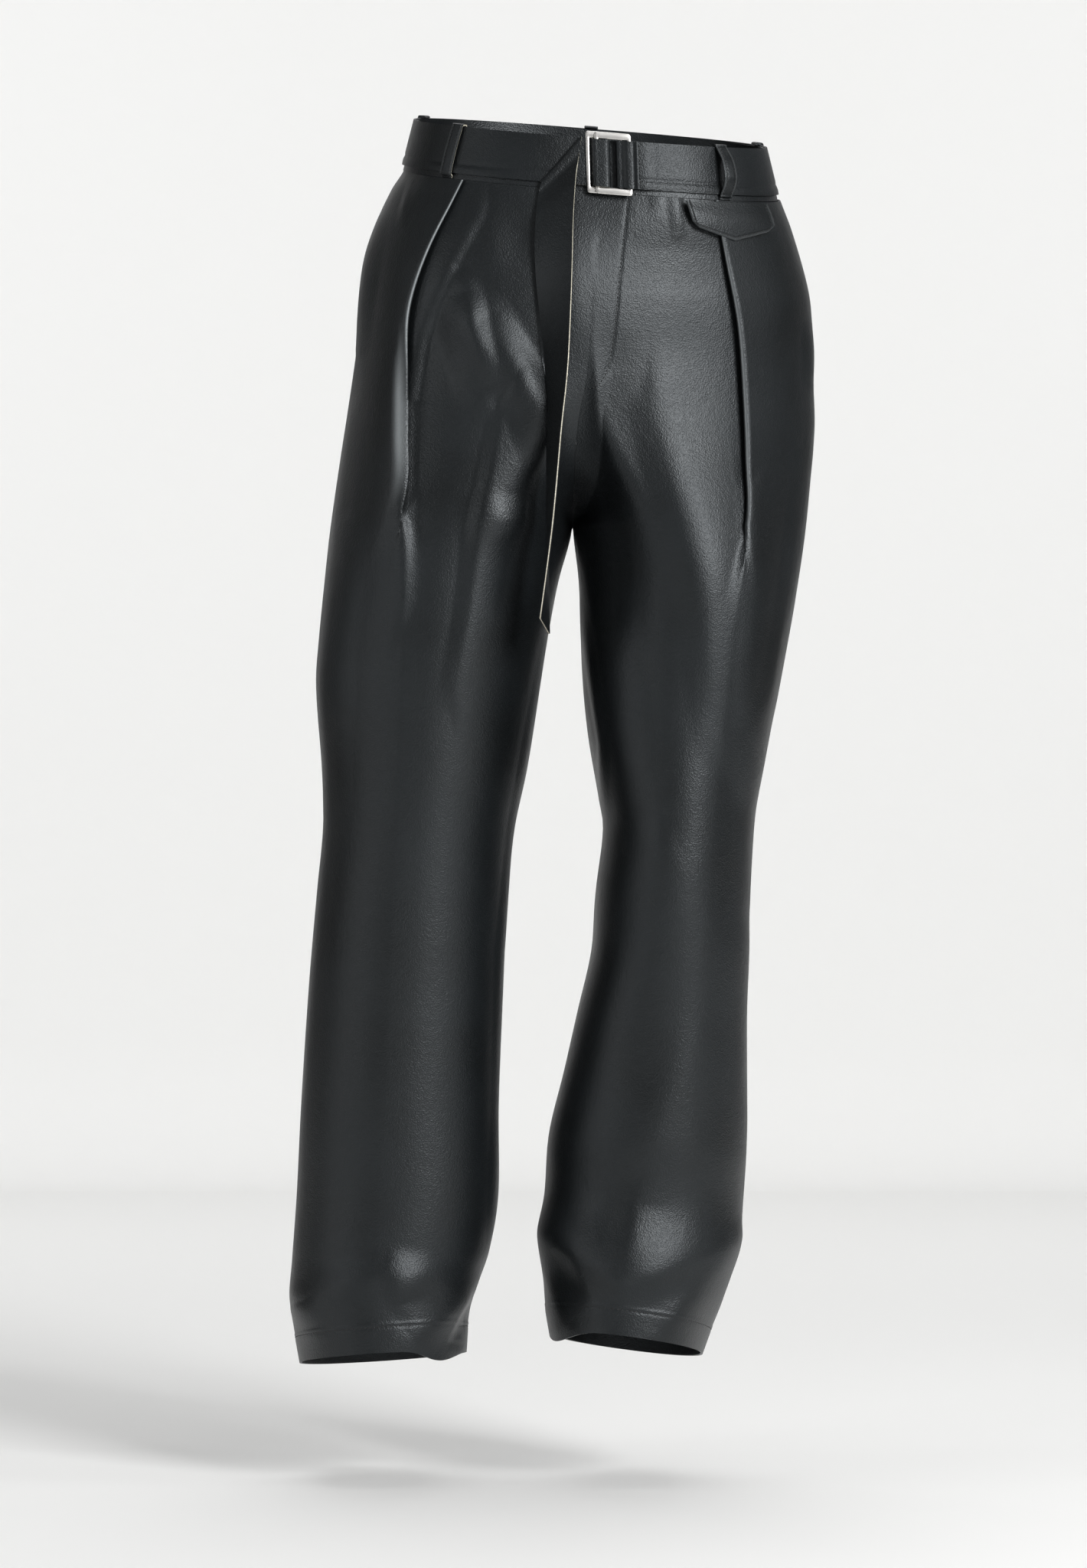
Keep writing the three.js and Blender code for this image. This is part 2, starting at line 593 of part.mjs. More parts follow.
// The keeper is the strap's end folded round both rings' bars on the wearer's left.
const innerRingRight = innerRingLeft + ringOuter.width;
const outerRingRight = outerRingLeft + ringOuter.width;
const wrap = strapThick / 2 + seamGap; // from a bar's face to the middle of the strap round it
const innerFace = levels.ringInner + ringThick / 2 + wrap;
const keeperStations = [
  [stitchLine, levels.tailUnder],
  [stitchLine - 1.1, levels.tailUnder + 0.3],
  [stitchLine - 2.3, levels.tailUnder + 1.5],
  [outerRingRight + 2.1, levels.over - 2.4],
  [outerRingRight + 1.3, levels.over - 0.6],
  [outerRingRight, levels.over + 0.1],
  [outerRingRight - ringSideBar, levels.over + 0.1],
  [outerRingRight - ringSideBar - 1.6, levels.over - 0.4],
  [innerRingRight + 1, innerFace + 0.6],
  [innerRingRight - 0.4, innerFace + 0.1],
  [innerRingRight - ringSideBar + 0.6, innerFace + 0.1],
  [innerRingRight - ringSideBar - 0.5, innerFace - 0.1],
  [innerRingRight - ringSideBar - wrap, innerFace - 0.9],
  [innerRingRight - ringSideBar - wrap - 0.1, innerFace - 2.1],
  [innerRingRight - ringSideBar - wrap - 0.1, levels.strap + 1.4],
  [innerRingRight - ringSideBar - 0.8, levels.strap + 0.5],
  [innerRingRight - ringSideBar + 0.3, levels.strap],
  [stitchLine + 4, levels.strap],
];
add("belt_keeper", wall(beltStrip(keeperStations), strapThick, { facing: -1 }), leatherBlack);

// A ring: a frame of flat rounded bars laid on the waist's course, each station a section of the bar.
const barCorners = [[0, 1], [0.14, 0.35], [0.5, 0], [0.86, 0.35], [1, 1], [0.86, 1.65], [0.5, 2], [0.14, 1.65]];
function ringGeometry(left, level) {
  const { width, height } = ringOuter;
  const outline = (w, h, corner) => {
    const points = [];
    for (const [sx, sz] of [[1, 1], [-1, 1], [-1, -1], [1, -1]]) {
      for (const t of [0.25, 0.5, 0.75]) {
        if (sx === sz) points.push([(w / 2) * sx, lerp(-h / 2 + corner, h / 2 - corner, t) * sz]);
        else points.push([lerp(w / 2 - corner, -w / 2 + corner, t) * sz, (h / 2) * sz]);
      }
      const start = sx === sz ? [sx * (w / 2), sz * (h / 2 - corner)] : [sx * (w / 2 - corner), sz * (h / 2)];
      const end = sx === sz ? [sx * (w / 2 - corner), sz * (h / 2)] : [sx * (w / 2), sz * (h / 2 - corner)];
      const middle = [sx * (w / 2 - corner * 0.3), sz * (h / 2 - corner * 0.3)];
      points.push(start, middle, end);
    }
    return points;
  };
  const outer = outline(width, height, 2.2);
  const inner = outline(width - 2 * ringSideBar, height - 2 * ringTopBar, 1);
  const points = [];
  outer.forEach(([ox, oz], i) => {
    const [ix, iz] = inner[i];
    for (const [across, deep] of barCorners) {
      const out = level + ringThick * 0.5 * (deep - 1);
      const p = onWaist(left + width / 2 + lerp(ox, ix, across), out, lerp(oz, iz, across));
      points.push(...p.toArray());
    }
  });
  const faces = [];
  const n = barCorners.length;
  for (let i = 0; i < outer.length; i += 1) {
    const next = (i + 1) % outer.length;
    for (let k = 0; k < n; k += 1) {
      const other = (k + 1) % n;
      const [a, b, c, d] = [i * n + k, next * n + k, next * n + other, i * n + other];
      faces.push(a, c, b, a, d, c);
    }
  }
  const geometry = new THREE.BufferGeometry();
  geometry.setAttribute("position", new THREE.Float32BufferAttribute(points, 3));
  geometry.setIndex(faces);
  return geometry;
}
add("ring_inner", ringGeometry(innerRingLeft, levels.ringInner), ringSteel);
add("ring_outer", ringGeometry(outerRingLeft, levels.ringOuter), ringSteel);

// The tail turns back over the outer ring's bar, dives under the inner ring's bar, folds down on a
// slant and hangs, turning edge on to the front. Its rows join its near edge to its far edge.
const tailColumns = 4;
const tailGrid = [];
function tailRow(near, far, place) {
  tailGrid.push(
    Array.from({ length: tailColumns + 1 }, (_, j) =>
      place(...near.map((value, k) => lerp(value, far[k], j / tailColumns))),
    ),
  );
}
const foldStations = [
  [strapFoldRight - 4.3, levels.strap],
  [strapFoldRight - 2.4, levels.strap + 0.5],
  [strapFoldRight - 1.1, levels.strap + 2],
  [strapFoldRight - 0.9, (levels.strap + levels.over) / 2],
  [strapFoldRight - 1.1, levels.over - 2],
  [strapFoldRight - 2.4, levels.over - 0.5],
  [strapFoldRight - 4.3, levels.over + 0.1],
  [outerRingLeft + 3, levels.over + 0.1],
  [outerRingLeft + 0.2, levels.over + 0.1],
  [outerRingLeft - 1, levels.over - 0.5],
  [outerRingLeft - 1.4, levels.over - 1.7],
  [outerRingLeft - 1.7, levels.over - 3.2],
  [outerRingLeft - 2.4, levels.tailUnder + 1.7],
  [outerRingLeft - 3.3, levels.tailUnder + 0.6],
  [outerRingLeft - 4.6, levels.tailUnder],
  [innerRingLeft - 0.4, levels.tailUnder],
];
for (const [s, out] of foldStations) tailRow([s, out, beltWidth / 2], [s, out, -beltWidth / 2], onWaist);
const slant = { near: innerRingLeft - 2.4, far: -41 };
const above = levels.tailUnder + layer;
tailRow([slant.near, levels.tailUnder, 20], [slant.far + 2, levels.tailUnder + 0.5, -20], onWaist);
tailRow([slant.near - 1, levels.tailUnder + 0.3, 20.4], [slant.far + 0.6, levels.tailUnder + 0.7, -20.4], onWaist);
tailRow([slant.near - 1.3, (levels.tailUnder + above) / 2, 20.6], [slant.far, (levels.tailUnder + above) / 2, -20.6], onWaist);
tailRow([slant.near - 1, above - 0.3, 19.8], [slant.far + 0.2, above - 0.3, -21], onWaist);
tailRow([slant.near - 2.2, above, 14], [slant.far - 1.4, above, -26], onWaist);
tailRow([slant.near - 4.6, above + 1, 0], [slant.far - 2.6, above, -33], onWaist);
// The hanging stretch: the x and z of its near and far edges, and how far it has turned from facing
// the front. The far edge lies on the trousers.
const hanging = [
  { nearX: -12, nearZ: -34, farX: -45.6, farZ: -66, turned: 0.1 },
  { nearX: -14, nearZ: -66, farX: -46.5, farZ: -90, turned: 0.4 },
  { nearX: -15, nearZ: -105, farX: -45, farZ: -120, turned: 0.8 },
  { nearX: -16.5, nearZ: -150, farX: -41, farZ: -156, turned: 1 },
  { nearX: -19, nearZ: -198, farX: -37, farZ: -198, turned: 1 },
  { nearX: -24, nearZ: -245, farX: -36.3, farZ: -245, turned: 1 },
  { nearX: -28, nearZ: -290, farX: -36, farZ: -290, turned: 1 },
  { nearX: -31.5, nearZ: -326, farX: -36, farZ: -326, turned: 1 },
  { nearX: -36, nearZ: -362, farX: -35.5, farZ: -364, turned: 1 },
  { nearX: -42, nearZ: -406, farX: -34.5, farZ: -418, turned: 1 },
];
const tailWidth = 38;
for (const h of hanging) {
  const lay = onSection(rightLeg, "front", h.farZ, distanceAt(rightLeg, "front", h.farZ, h.farX));
  const beltY = onWaist(h.farX, above, -30).y;
  const farY = Math.min(lay.y - 5, lerp(beltY - 3, beltY, ease(h.farZ, -100, -66)));
  const deep = Math.sqrt(tailWidth ** 2 - (h.nearX - h.farX) ** 2);
  const nearY = farY - 1.5 - deep * h.turned;
  tailRow([h.nearX, nearY, h.nearZ], [h.farX, farY, h.farZ], (x, y, z) => new THREE.Vector3(x, y, z));
}
add("belt_tail", wall(tailGrid, strapThick), leatherBlack);

// The belt loops, each a strip over the belt that ends on the waistband above and below
const loops = {
  belt_loop_front_right: { s: -121, lean: 0.24, bulge: 1 },
  belt_loop_front_left: { s: 117, lean: -0.02, bulge: 9 },
  belt_loop_back_left: { s: 0.3 * waistLength, lean: 0, bulge: 1 },
  belt_loop_centre_back: { s: 0.5 * waistLength, lean: 0, bulge: 1 },
  belt_loop_back_right: { s: 0.7 * waistLength, lean: 0, bulge: 1 },
};
const loopClear = levels.strap + strapThick / 2 + 0.8 + loopThick / 2;
for (const [name, { s, lean, bulge }] of Object.entries(loops)) {
  const stations = [
    [-0.8, waistbandTop + seamGap + loopThick / 2],
    [-0.3, beltWidth / 2 + loopThick / 2 + 0.4],
    [0.8, beltWidth / 2 + loopThick / 2 + 0.9],
    [loopClear - 1.2, beltWidth / 2 + loopThick / 2 + 0.9],
    [loopClear - 0.2, beltWidth / 2 + loopThick / 2 + 0.2],
    [loopClear, beltWidth / 2 - 0.4],
    [loopClear + bulge * 0.75, beltWidth / 4],
    [loopClear + bulge, -2],
    [loopClear + bulge * 0.75, -beltWidth / 4],
    [loopClear, -beltWidth / 2 + 0.8],
    [loopClear - 0.9, -beltWidth / 2 - 1.4],
    [waistbandThick / 2 + seamGap + loopThick / 2, -beltWidth / 2 - 2.4],
    [waistbandThick / 2 + seamGap + loopThick / 2, -beltWidth / 2 - 4.4],
  ];
  const grid = stations.map(([out, up]) =>
    [-0.5, 0.5].map((side) => onWaist(s + side * loopWidth + lean * up, out, up)),
  );
  grid.forEach((row) => row.splice(1, 0, row[0].clone().lerp(row[1], 0.5)));
  add(name, wall(grid, loopThick, { facing: -1 }), leatherBlack);
}

// The coin pocket's flap hangs from under the belt over the top of the wearer's left pleat.
const flap = { left: 79, right: 146, top: -27.5, corner: -57, point: -72, columns: 10, rows: 4, out: 7 };
const flapGrid = [];
for (let i = 0; i <= flap.rows; i += 1) {
  const row = [];
  for (let j = 0; j <= flap.columns; j += 1) {
    const a = j / flap.columns;
    const pointed = 1 - Math.abs(a - 0.52) / 0.52;
    const rounded = Math.min(1, a / 0.08, (1 - a) / 0.08);
    const bottom = lerp(flap.corner, flap.point, Math.max(0, pointed)) + 4 * (1 - rounded);
    const z = lerp(flap.top, bottom, i / flap.rows);
    const x = lerp(flap.left, flap.right, a) + 4 * (i / flap.rows) * (a - 0.2);
    const p = onSection(leftLeg, "front", z, distanceAt(leftLeg, "front", z, x));
    const out = lerp(flap.out - 1.2, flap.out, ease(i, 0, 2));
    row.push(new THREE.Vector3(p.x + p.nx * out, p.y + p.ny * out, z + lift(leftLeg, p.x, p.y, z)));
  }
  flapGrid.push(row);
}
add("pocket_flap", wall(flapGrid, flapThick, { facing: -1 }), flapBlack);

export default trousers;
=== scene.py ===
import math
import bpy
import numpy as np
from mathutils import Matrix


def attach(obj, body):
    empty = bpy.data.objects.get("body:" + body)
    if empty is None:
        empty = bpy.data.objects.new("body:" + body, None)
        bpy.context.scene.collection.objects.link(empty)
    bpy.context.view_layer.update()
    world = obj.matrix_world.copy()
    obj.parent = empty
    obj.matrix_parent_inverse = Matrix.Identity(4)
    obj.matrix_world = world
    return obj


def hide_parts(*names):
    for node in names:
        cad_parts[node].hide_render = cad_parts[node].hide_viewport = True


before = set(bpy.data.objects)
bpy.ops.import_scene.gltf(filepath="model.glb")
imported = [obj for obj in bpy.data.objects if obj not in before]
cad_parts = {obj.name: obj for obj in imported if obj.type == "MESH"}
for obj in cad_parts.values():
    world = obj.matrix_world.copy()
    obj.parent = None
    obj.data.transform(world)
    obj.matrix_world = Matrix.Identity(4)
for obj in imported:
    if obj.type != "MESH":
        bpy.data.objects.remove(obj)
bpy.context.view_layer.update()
print("frame loaded")

# Pleated faux leather trousers with a double ring belt. Lengths below are in millimetres and become
# metres where a mesh is made. +Z is up, the front faces -Y, and the left leg, as worn, is on +X.
toMetres = 0.001
cloth = {"thick": 1.2, "hemThick": 2.2, "hemDepth": 24, "seamGap": 0.02, "roundness": 0.6}
waist = {"tiltX": -0.08, "tiltY": 0.144, "top": 19, "bottom": -25, "thick": 2.0, "leanAll": 0.05,
         "leanSides": 0.2, "shear": -0.028}
rise = {"crotchZ": -324, "crotchY": 8}


# Tables and small formulas
def columns(names, rows):
    return dict(zip(names.split(), np.array(rows, float).T))  # a short table by column names


def ease(value, start, end):
    t = np.clip((value - start) / (end - start), 0, 1)
    return t * t * (3 - 2 * t)  # smooth step from 0 to 1


def lerp(a, b, t):
    return a + (b - a) * t  # the value at the share t of the way from a to b


def along(table, key, z):
    # a cubic through the rows of a table with slopes from each row's neighbours
    zs, vs = table["z"], table[key]
    last = len(zs) - 1
    zc = np.clip(z, zs[-1], zs[0])
    i = np.clip(np.searchsorted(-zs, -zc, side="right") - 1, 0, last - 1)
    before, after = np.maximum(np.arange(last + 1) - 1, 0), np.minimum(np.arange(last + 1) + 1, last)
    slopes = (vs[after] - vs[before]) / (zs[after] - zs[before])
    span = zs[i + 1] - zs[i]
    t = (zc - zs[i]) / span
    return ((2 * t**3 - 3 * t**2 + 1) * vs[i] + (t**3 - 2 * t**2 + t) * span * slopes[i]
            + (3 * t**2 - 2 * t**3) * vs[i + 1] + (t**3 - t**2) * span * slopes[i + 1])


# The legs. A section has its outer and inner x, its front and back y, and the outseam's y. The pleat has
# its edge's x, how deep it folds in, how far apart its layers lie, and how far it has opened. frontSlope
# and frontShare slant and shift the front's curve, the fourth entry is the strength of a highlight painted
# along the edge with the heights between which it fades, and lip is how far the edge rolls over
flyLine = [(29, -80), (26, -107), (23, -140), (21, -160), (17.5, -186), (11, -203), (2, -210)]  # x and z
sectionNames = "z outer inner front back seam"
pleatNames = "z x depth pitch open"
rightLeg = {
    "side": -1, "frontSlope": 0.0, "frontShare": 0.2, "paintedHighlight": (0.9, -215, -140), "lip": 8,
    "hem": {"level": -1043, "x": -178, "slopeX": 0.07, "slopeY": -0.13, "lobe": (-128, 17, -9)},
    "sections": columns(sectionNames, [
        (25, -149, 0, -114, 114, 4),
        (0, -154, 0, -116, 116, 4),
        (-25, -160, 0, -118, 119, 5),
        (-43, -171, 0, -121, 124, 6),
        (-74, -186, 0, -125, 131, 8),
        (-108, -196, 0, -128, 138, 9),
        (-157, -199, 0, -129, 145, 10),
        (-210, -206, -6, -129, 148, 10),
        (-263, -215, -12, -129, 146, 10),
        (-324, -224, -15, -128, 140, 8),
        (-370, -229, -27, -127, 132, 6),
        (-423, -234, -37, -125, 122, 4),
        (-460, -236, -43, -123, 115, 2),
        (-529, -230, -54, -117, 104, 0),
        (-583, -230, -66, -112, 99, -2),
        (-636, -235, -71, -108, 97, -2),
        (-716, -242, -75, -104, 97, -1),
        (-822, -249, -79, -100, 98, 0),
        (-902, -253, -79, -98, 98, 0),
        (-955, -257, -87, -98, 99, 0),
        (-982, -259, -96, -99, 99, 0),
        (-1008, -256, -104, -101, 98, 0),
        (-1043, -250, -107, -102, 96, 0)]),
    "pleat": columns(pleatNames, [
        (-25, -106, 24, 2.2, 0),
        (-87, -133, 21, 3.2, 0),
        (-139, -147, 16, 4.2, 0),
        (-198, -150, 12, 5.0, 0),
        (-243, -151, 9, 5.2, 0),
        (-300, -150, 6, 4.8, 0.1),
        (-345, -151, 2.5, 3.0, 0.6),
        (-400, -156, 0, 1.0, 1),
        (-1043, -185, 0, 0, 1)]),
    # each fold: a path of (x, z), its half width on either side of it, and its height
    "front": [
        ([(-103, -60), (-130, -110), (-150, -160), (-159, -220), (-161, -300), (-162, -390)],
         34, 9, 7),  # the pleat's roll
        ([(-106, -128), (-100, -160), (-87, -210)], 16, 9.5, 8.5),  # upper streak
        ([(-88, -150), (-71, -182), (-46, -222), (-34, -260)], 15, 13, 8),  # lower streak
        ([(-68, -232), (-80, -291), (-90, -339), (-98, -399), (-110, -465)],
         10, 28, 7),  # crest beside the trough
        ([(-44, -318), (-66, -327), (-90, -322)], 14, 12, 4.5),
        ([(-62, -60), (-60, -110)], 12, 10, -1.5),  # dark hollow beside the belt's tail
        ([(-127, -280), (-117, -465), (-125, -660)], 34, 34, 3.5),  # long sheen down the thigh
        ([(-243, -991), (-202, -970), (-169, -962), (-143, -966), (-119, -977), (-99, -988)],
         14, 9, 4.0, 1),  # arch over the hem
        ([(-166, -962), (-158, -988)], 8, 14, 3),  # upright pucker under it
        ([(-97, -984), (-106, -1004), (-114, -1024)], 5, 6, -4),  # crease from the arch's inner end
        ([(-103, -985), (-127, -1000), (-152, -1018)], 12, 9, 5, 1),  # ridge beside it
        ([(-246, -990), (-236, -1010)], 10, 10, 3),
        ([(-205, -330), (-219, -440), (-224, -560)], 10, 12, 3.5),
        ([(-186, -60), (-192, -120), (-196, -166)], 5, 8, 3),  # side pocket's mouth
        ([(-36, -420), (-52, -504), (-67, -586), (-77, -690), (-80, -830), (-84, -950)],
         3, 3, 2.4),  # inseam's ridge
        ([(-150, -28), (-158, -62)], 4, 5, 1.8), ([(-140, -26), (-146, -54)], 4, 4, 1.5)],
    "back": [
        ([(-40, -250), (-95, -305), (-170, -330)], 22, 22, -7),
        ([(-60, -350), (-120, -385), (-190, -395)], 18, 18, -4),
        ([(-95, -560), (-150, -600), (-215, -590)], 22, 22, -5),
        ([(-110, -655), (-160, -680), (-225, -665)], 20, 20, 4),
        ([(-245, -960), (-175, -985), (-112, -965)], 16, 16, 5),
        ([(-235, -1000), (-175, -1018), (-120, -1000)], 12, 12, -4)],
}
leftLeg = {
    "side": 1, "frontSlope": 0.2, "frontShare": 0.0, "paintedHighlight": (0.6, -380, -260), "lip": 0,
    "hem": {"level": -1031, "x": 31, "slopeX": -0.136, "slopeY": -0.15, "lobe": (-33, 22, -10)},
    "sections": columns(sectionNames, [
        (25, 153, 0, -114, 114, 4),
        (0, 157, 0, -116, 116, 4),
        (-25, 166, 0, -118, 119, 5),
        (-52, 176, 0, -122, 126, 7),
        (-98, 188, 0, -127, 136, 9),
        (-130, 193, 0, -129, 141, 10),
        (-196, 195, 0, -128.3, 148, 10),
        (-237, 196, -10, -128.8, 147, 10),
        (-290, 191, -13, -130, 144, 10),
        (-324, 187, -13, -130, 140, 10),
        (-370, 180, -8, -130, 134, 10),
        (-450, 165, -5, -130, 124, 10),
        (-503, 154, 0, -129, 117, 10),
        (-556, 144, 9, -127, 112, 8),
        (-583, 141, 13, -125, 110, 6),
        (-636, 139, 7, -120, 107, 4),
        (-689, 139, 3, -115, 105, 2),
        (-742, 137, -9, -110, 104, 0),
        (-795, 137, -21, -106, 103, 0),
        (-849, 137, -34, -103, 103, 0),
        (-902, 134, -38, -101, 103, 0),
        (-942, 129, -44, -101, 102, 0),
        (-982, 116, -39, -103, 100, 0),
        (-1008, 106, -37, -105, 97, 0),
        (-1031, 98, -33, -106, 94, 0)]),
    "pleat": columns(pleatNames, [
        (-25, 107, 24, 2.0, 0),
        (-82, 115, 21, 4.2, 0),
        (-152, 125, 16, 5.6, 0),
        (-204, 129, 13, 5.9, 0),
        (-269, 131, 10, 5.2, 0),
        (-330, 128, 6, 3.4, 0.2),
        (-380, 122, 2, 1.6, 0.7),
        (-435, 117, 0, 0.5, 1),
        (-1031, 70, 0, 0, 1)]),
    "front": [
        ([(62, -230), (88, -330), (104, -400), (116, -500)], 16, 40, 6),  # broad bright front of the thigh
        ([(-14, -212), (2, -255), (22, -320), (40, -400), (56, -480), (66, -560)],
         20, 37, -11),  # hollow from the crotch
        ([(138, -300), (135, -475), (138, -640)], 9, 16, 3.5),
        ([(184, -260), (176, -329), (165, -397), (148, -470), (138, -500)], 6, 10, 3.5),
        ([(-36, -922), (0, -903), (39, -898), (85, -904), (122, -920)], 24, 27, -4),  # dark arc above
        ([(-42, -930), (-10, -944), (27, -967), (55, -960), (81, -951), (128, -935)],
         12, 24, 7.4, 1),  # crest of the break
        ([(41, -903), (35, -934), (26, -964)], 9, 20, 4, 1),  # upright pucker, shaded on its inner side
        ([(127, -940), (96, -972), (76, -996), (64, -1014)], 9, 14, 5, 1),  # ridge down to the hem
        ([(-30, -944), (-22, -970), (-11, -998)], 8, 10, -4),
        ([(70, -690), (40, -780), (0, -860)], 24, 24, -4),
        ([(-8, -386), (12, -510), (13, -573)], 3, 3, 2.2),  # inseam's ridge
        ([(70, -22), (76, -76)], 5, 4, 1.6), ([(58, -22), (60, -60)], 6, 6, 1.0),  # gathers
        ([(33, -45)] + flyLine + [(-12, -209)], 1.1, 1.1, -0.8),  # the groove of the fly's stitches
        ([(190, -150), (190, -196)], 4, 6, 2.5)],
    "back": [
        ([(30, -250), (85, -305), (150, -330)], 22, 22, -7),
        ([(30, -350), (85, -385), (150, -395)], 18, 18, -4),
        ([(20, -560), (75, -600), (130, -590)], 22, 22, -6),
        ([(18, -660), (75, -685), (130, -670)], 20, 20, 4),
        ([(-30, -925), (40, -955), (115, -930)], 16, 16, -6),
        ([(-25, -965), (40, -990), (105, -965)], 14, 14, 5)],
}


def outward(leg, half):
    return leg["side"] * (1 if half == "front" else -1)  # the way round in which a panel's outside faces


def innerEdge(leg, half, z):
    # the inner edge at each height: the rise bends back to the crotch, and the inseam goes on down
    inner = along(leg["sections"], "inner", z)
    down = np.clip(z / rise["crotchZ"], 0, 1)
    turn = math.pi / 2 * down**5
    middle = (along(rightLeg["sections"], "inner", z) + along(leftLeg["sections"], "inner", z)) / 2
    clear = (cloth["thick"] / 2 - 0.05) * np.sin(turn)
    meet = (along(rightLeg["sections"], half, z) + along(leftLeg["sections"], half, z)) / 2
    meet = meet - 1.5 * ease(z, -25, -90) if half == "front" else meet * (1 - 0.03 * down)
    y = lerp(meet, rise["crotchY"], down**8)
    low = z <= rise["crotchZ"]
    return (np.where(low, inner, middle + leg["side"] * clear),
            np.where(low, rise["crotchY"] * ease(z, -700, rise["crotchZ"]), y),
            np.where(low, math.pi / 2, turn))


def cubic(p, t):
    # points of cubic curves: p is [4, rows, 2], t the share along each
    s = 1 - t
    w = np.stack([s**3, 3 * s * s * t, 3 * s * t * t, t**3])
    return np.einsum("kt,krc->rtc", w, p)


def halfSection(leg, half, z):
    # each section: a curve from the outseam round to the extreme, then one to the inner edge
    front = 1 if half == "front" else 0
    facing = 1 - 2 * front
    ex, ey, turn = innerEdge(leg, half, z)
    ox, oy = along(leg["sections"], "outer", z), along(leg["sections"], "seam", z)
    ty = along(leg["sections"], half, z)
    share = lerp(0.15, 0.04, ease(z, -25, -80)) + 0.42 * ease(z, -165, -390) + 0.04 * ease(z, -390, -560)
    share = share + front * leg["frontShare"] * ease(z, -25, -80) * ease(z, -390, -165)
    slope = front * leg["frontSlope"] * ease(z, -25, -120) * ease(z, -460, -250)
    tx = lerp(ex, ox, share)
    k, side = cloth["roundness"], leg["side"]
    reachY, reachX = np.abs(ty - oy) * k, np.abs(tx - ox) * k
    dx, dy = np.abs(tx - ex), np.abs(ty - ey)
    reachIn = np.hypot(dx * np.cos(turn), dy * np.sin(turn)) * k
    slopeIn = front * leftLeg["frontSlope"] * ease(z, -25, -120) * ease(z, -190, -130) * side * reachIn
    controls = [(ox, oy), (ox, oy + facing * reachY), (tx + side * reachX, ty + slope * reachX), (tx, ty),
                (tx - side * dx * k, ty - slope * dx * k),
                (ex + side * reachIn * np.cos(turn), ey + slopeIn + facing * reachIn * np.sin(turn)),
                (ex, ey)]
    controls = np.array([np.stack(pair, -1) for pair in controls])
    t = np.linspace(0, 1, 101)
    points = np.concatenate([cubic(controls[:4], t[:-1]), cubic(controls[3:], t)], 1)
    steps = np.linalg.norm(np.diff(points, axis=1), axis=2)
    lengths = np.concatenate([np.zeros((len(z), 1)), np.cumsum(steps, 1)], 1)
    return points, lengths


def onSection(leg, half, section, distance):
    # the point and outward normal at distances [rows, columns] from the outseam
    points, lengths = section
    d = np.clip(distance, 0, lengths[:, -1:])
    rows = np.arange(len(points))[:, None]
    i = np.clip((lengths[:, None, :] < d[:, :, None]).sum(2), 1, lengths.shape[1] - 1)
    t = ((d - lengths[rows, i - 1]) / (lengths[rows, i] - lengths[rows, i - 1]))[..., None]
    p = lerp(points[rows, i - 1], points[rows, i], t)
    tangents = np.gradient(points, axis=1)
    tangent = lerp(tangents[rows, i - 1], tangents[rows, i], t)
    tangent /= np.linalg.norm(tangent, axis=2, keepdims=True)
    turn = outward(leg, half)
    return p, np.stack([-turn * tangent[..., 1], turn * tangent[..., 0]], -1)


def distanceAt(leg, section, x):
    # the distance from the outseam at which each row's section reaches x
    points, lengths = section
    past = (points[..., 0] - x[:, None]) * leg["side"]
    i = np.clip((past > 0).sum(1), 1, past.shape[1] - 1)
    rows = np.arange(len(points))
    t = past[rows, i - 1] / (past[rows, i - 1] - past[rows, i])
    return lerp(lengths[rows, i - 1], lengths[rows, i], np.clip(t, 0, 1))


def lift(leg, x, y, z):
    # the waist and the hem are planes that tilt, and fade out between; a lobe dips at the hem's inner corner
    hem = leg["hem"]
    at, wide, low = hem["lobe"]
    lobe = low * np.exp(-((x - at) / wide)**2) * ease(y, 20, -60) * ease(z, -985, -1030)
    return ((waist["tiltX"] * x + waist["tiltY"] * y) * ease(z, -170, -25)
            + (hem["slopeX"] * (x - hem["x"]) + hem["slopeY"] * y) * ease(z, -880, -1000) + lobe)


def foldHeight(fold, x, z):
    # a rounded bell across the fold's path, with its own width on either side, that fades at its ends;
    # a fifth value of 1 makes it a crest instead, whose flanks grow steeper towards its blunted top
    path, before, beyond, height, *crest = fold
    blunt = 9
    best, share, side = np.full(x.shape, 1e9), np.zeros(x.shape), np.zeros(x.shape)
    spans = len(path) - 1
    for i in range(spans):
        (ax, az), (bx, bz) = path[i], path[i + 1]
        dx, dz = bx - ax, bz - az
        t = np.clip(((x - ax) * dx + (z - az) * dz) / (dx * dx + dz * dz), 0, 1)
        away = np.hypot(x - ax - dx * t, z - az - dz * t)
        nearer = away < best
        best, share = np.where(nearer, away, best), np.where(nearer, (i + t) / spans, share)
        side = np.where(nearer, dx * (z - az) - dz * (x - ax), side)
    half = lerp(before, beyond, ease(side / (np.hypot(dx, dz) * (before + beyond)), -0.25, 0.25))
    bell = np.clip(1 - (best / (2 * half))**2, 0, 1)**2
    if crest:
        bell = np.clip(1 - (np.hypot(best, blunt) - blunt) / (2 * half), 0, 1)**2
    return height * bell * np.sin(math.pi * lerp(0.12, 0.88, share))


# Rows and columns of the panels: each stretch down ends at a height and has its number of rows
detail = {"rows": [(-110, 50), (-270, 72), (-324, 30), (-860, 66)], "breakRows": 66, "hemBand": 42,
          "hemRows": 38, "outerRun": 48, "lipRun": 4, "turn": 8, "between": 3, "innerRun": 94,
          "backColumns": 110}


def rowHeights(leg):
    # heights from the waistband down to the hem, evenly spaced within each stretch
    hem = leg["hem"]["level"]
    z = [waist["bottom"] - 0.3]
    lower = [(hem + detail["hemBand"], detail["breakRows"]), (hem, detail["hemRows"])]
    for end, steps in detail["rows"] + lower:
        z += list(np.linspace(z[-1], end, steps + 1)[1:])
    return np.array(z)


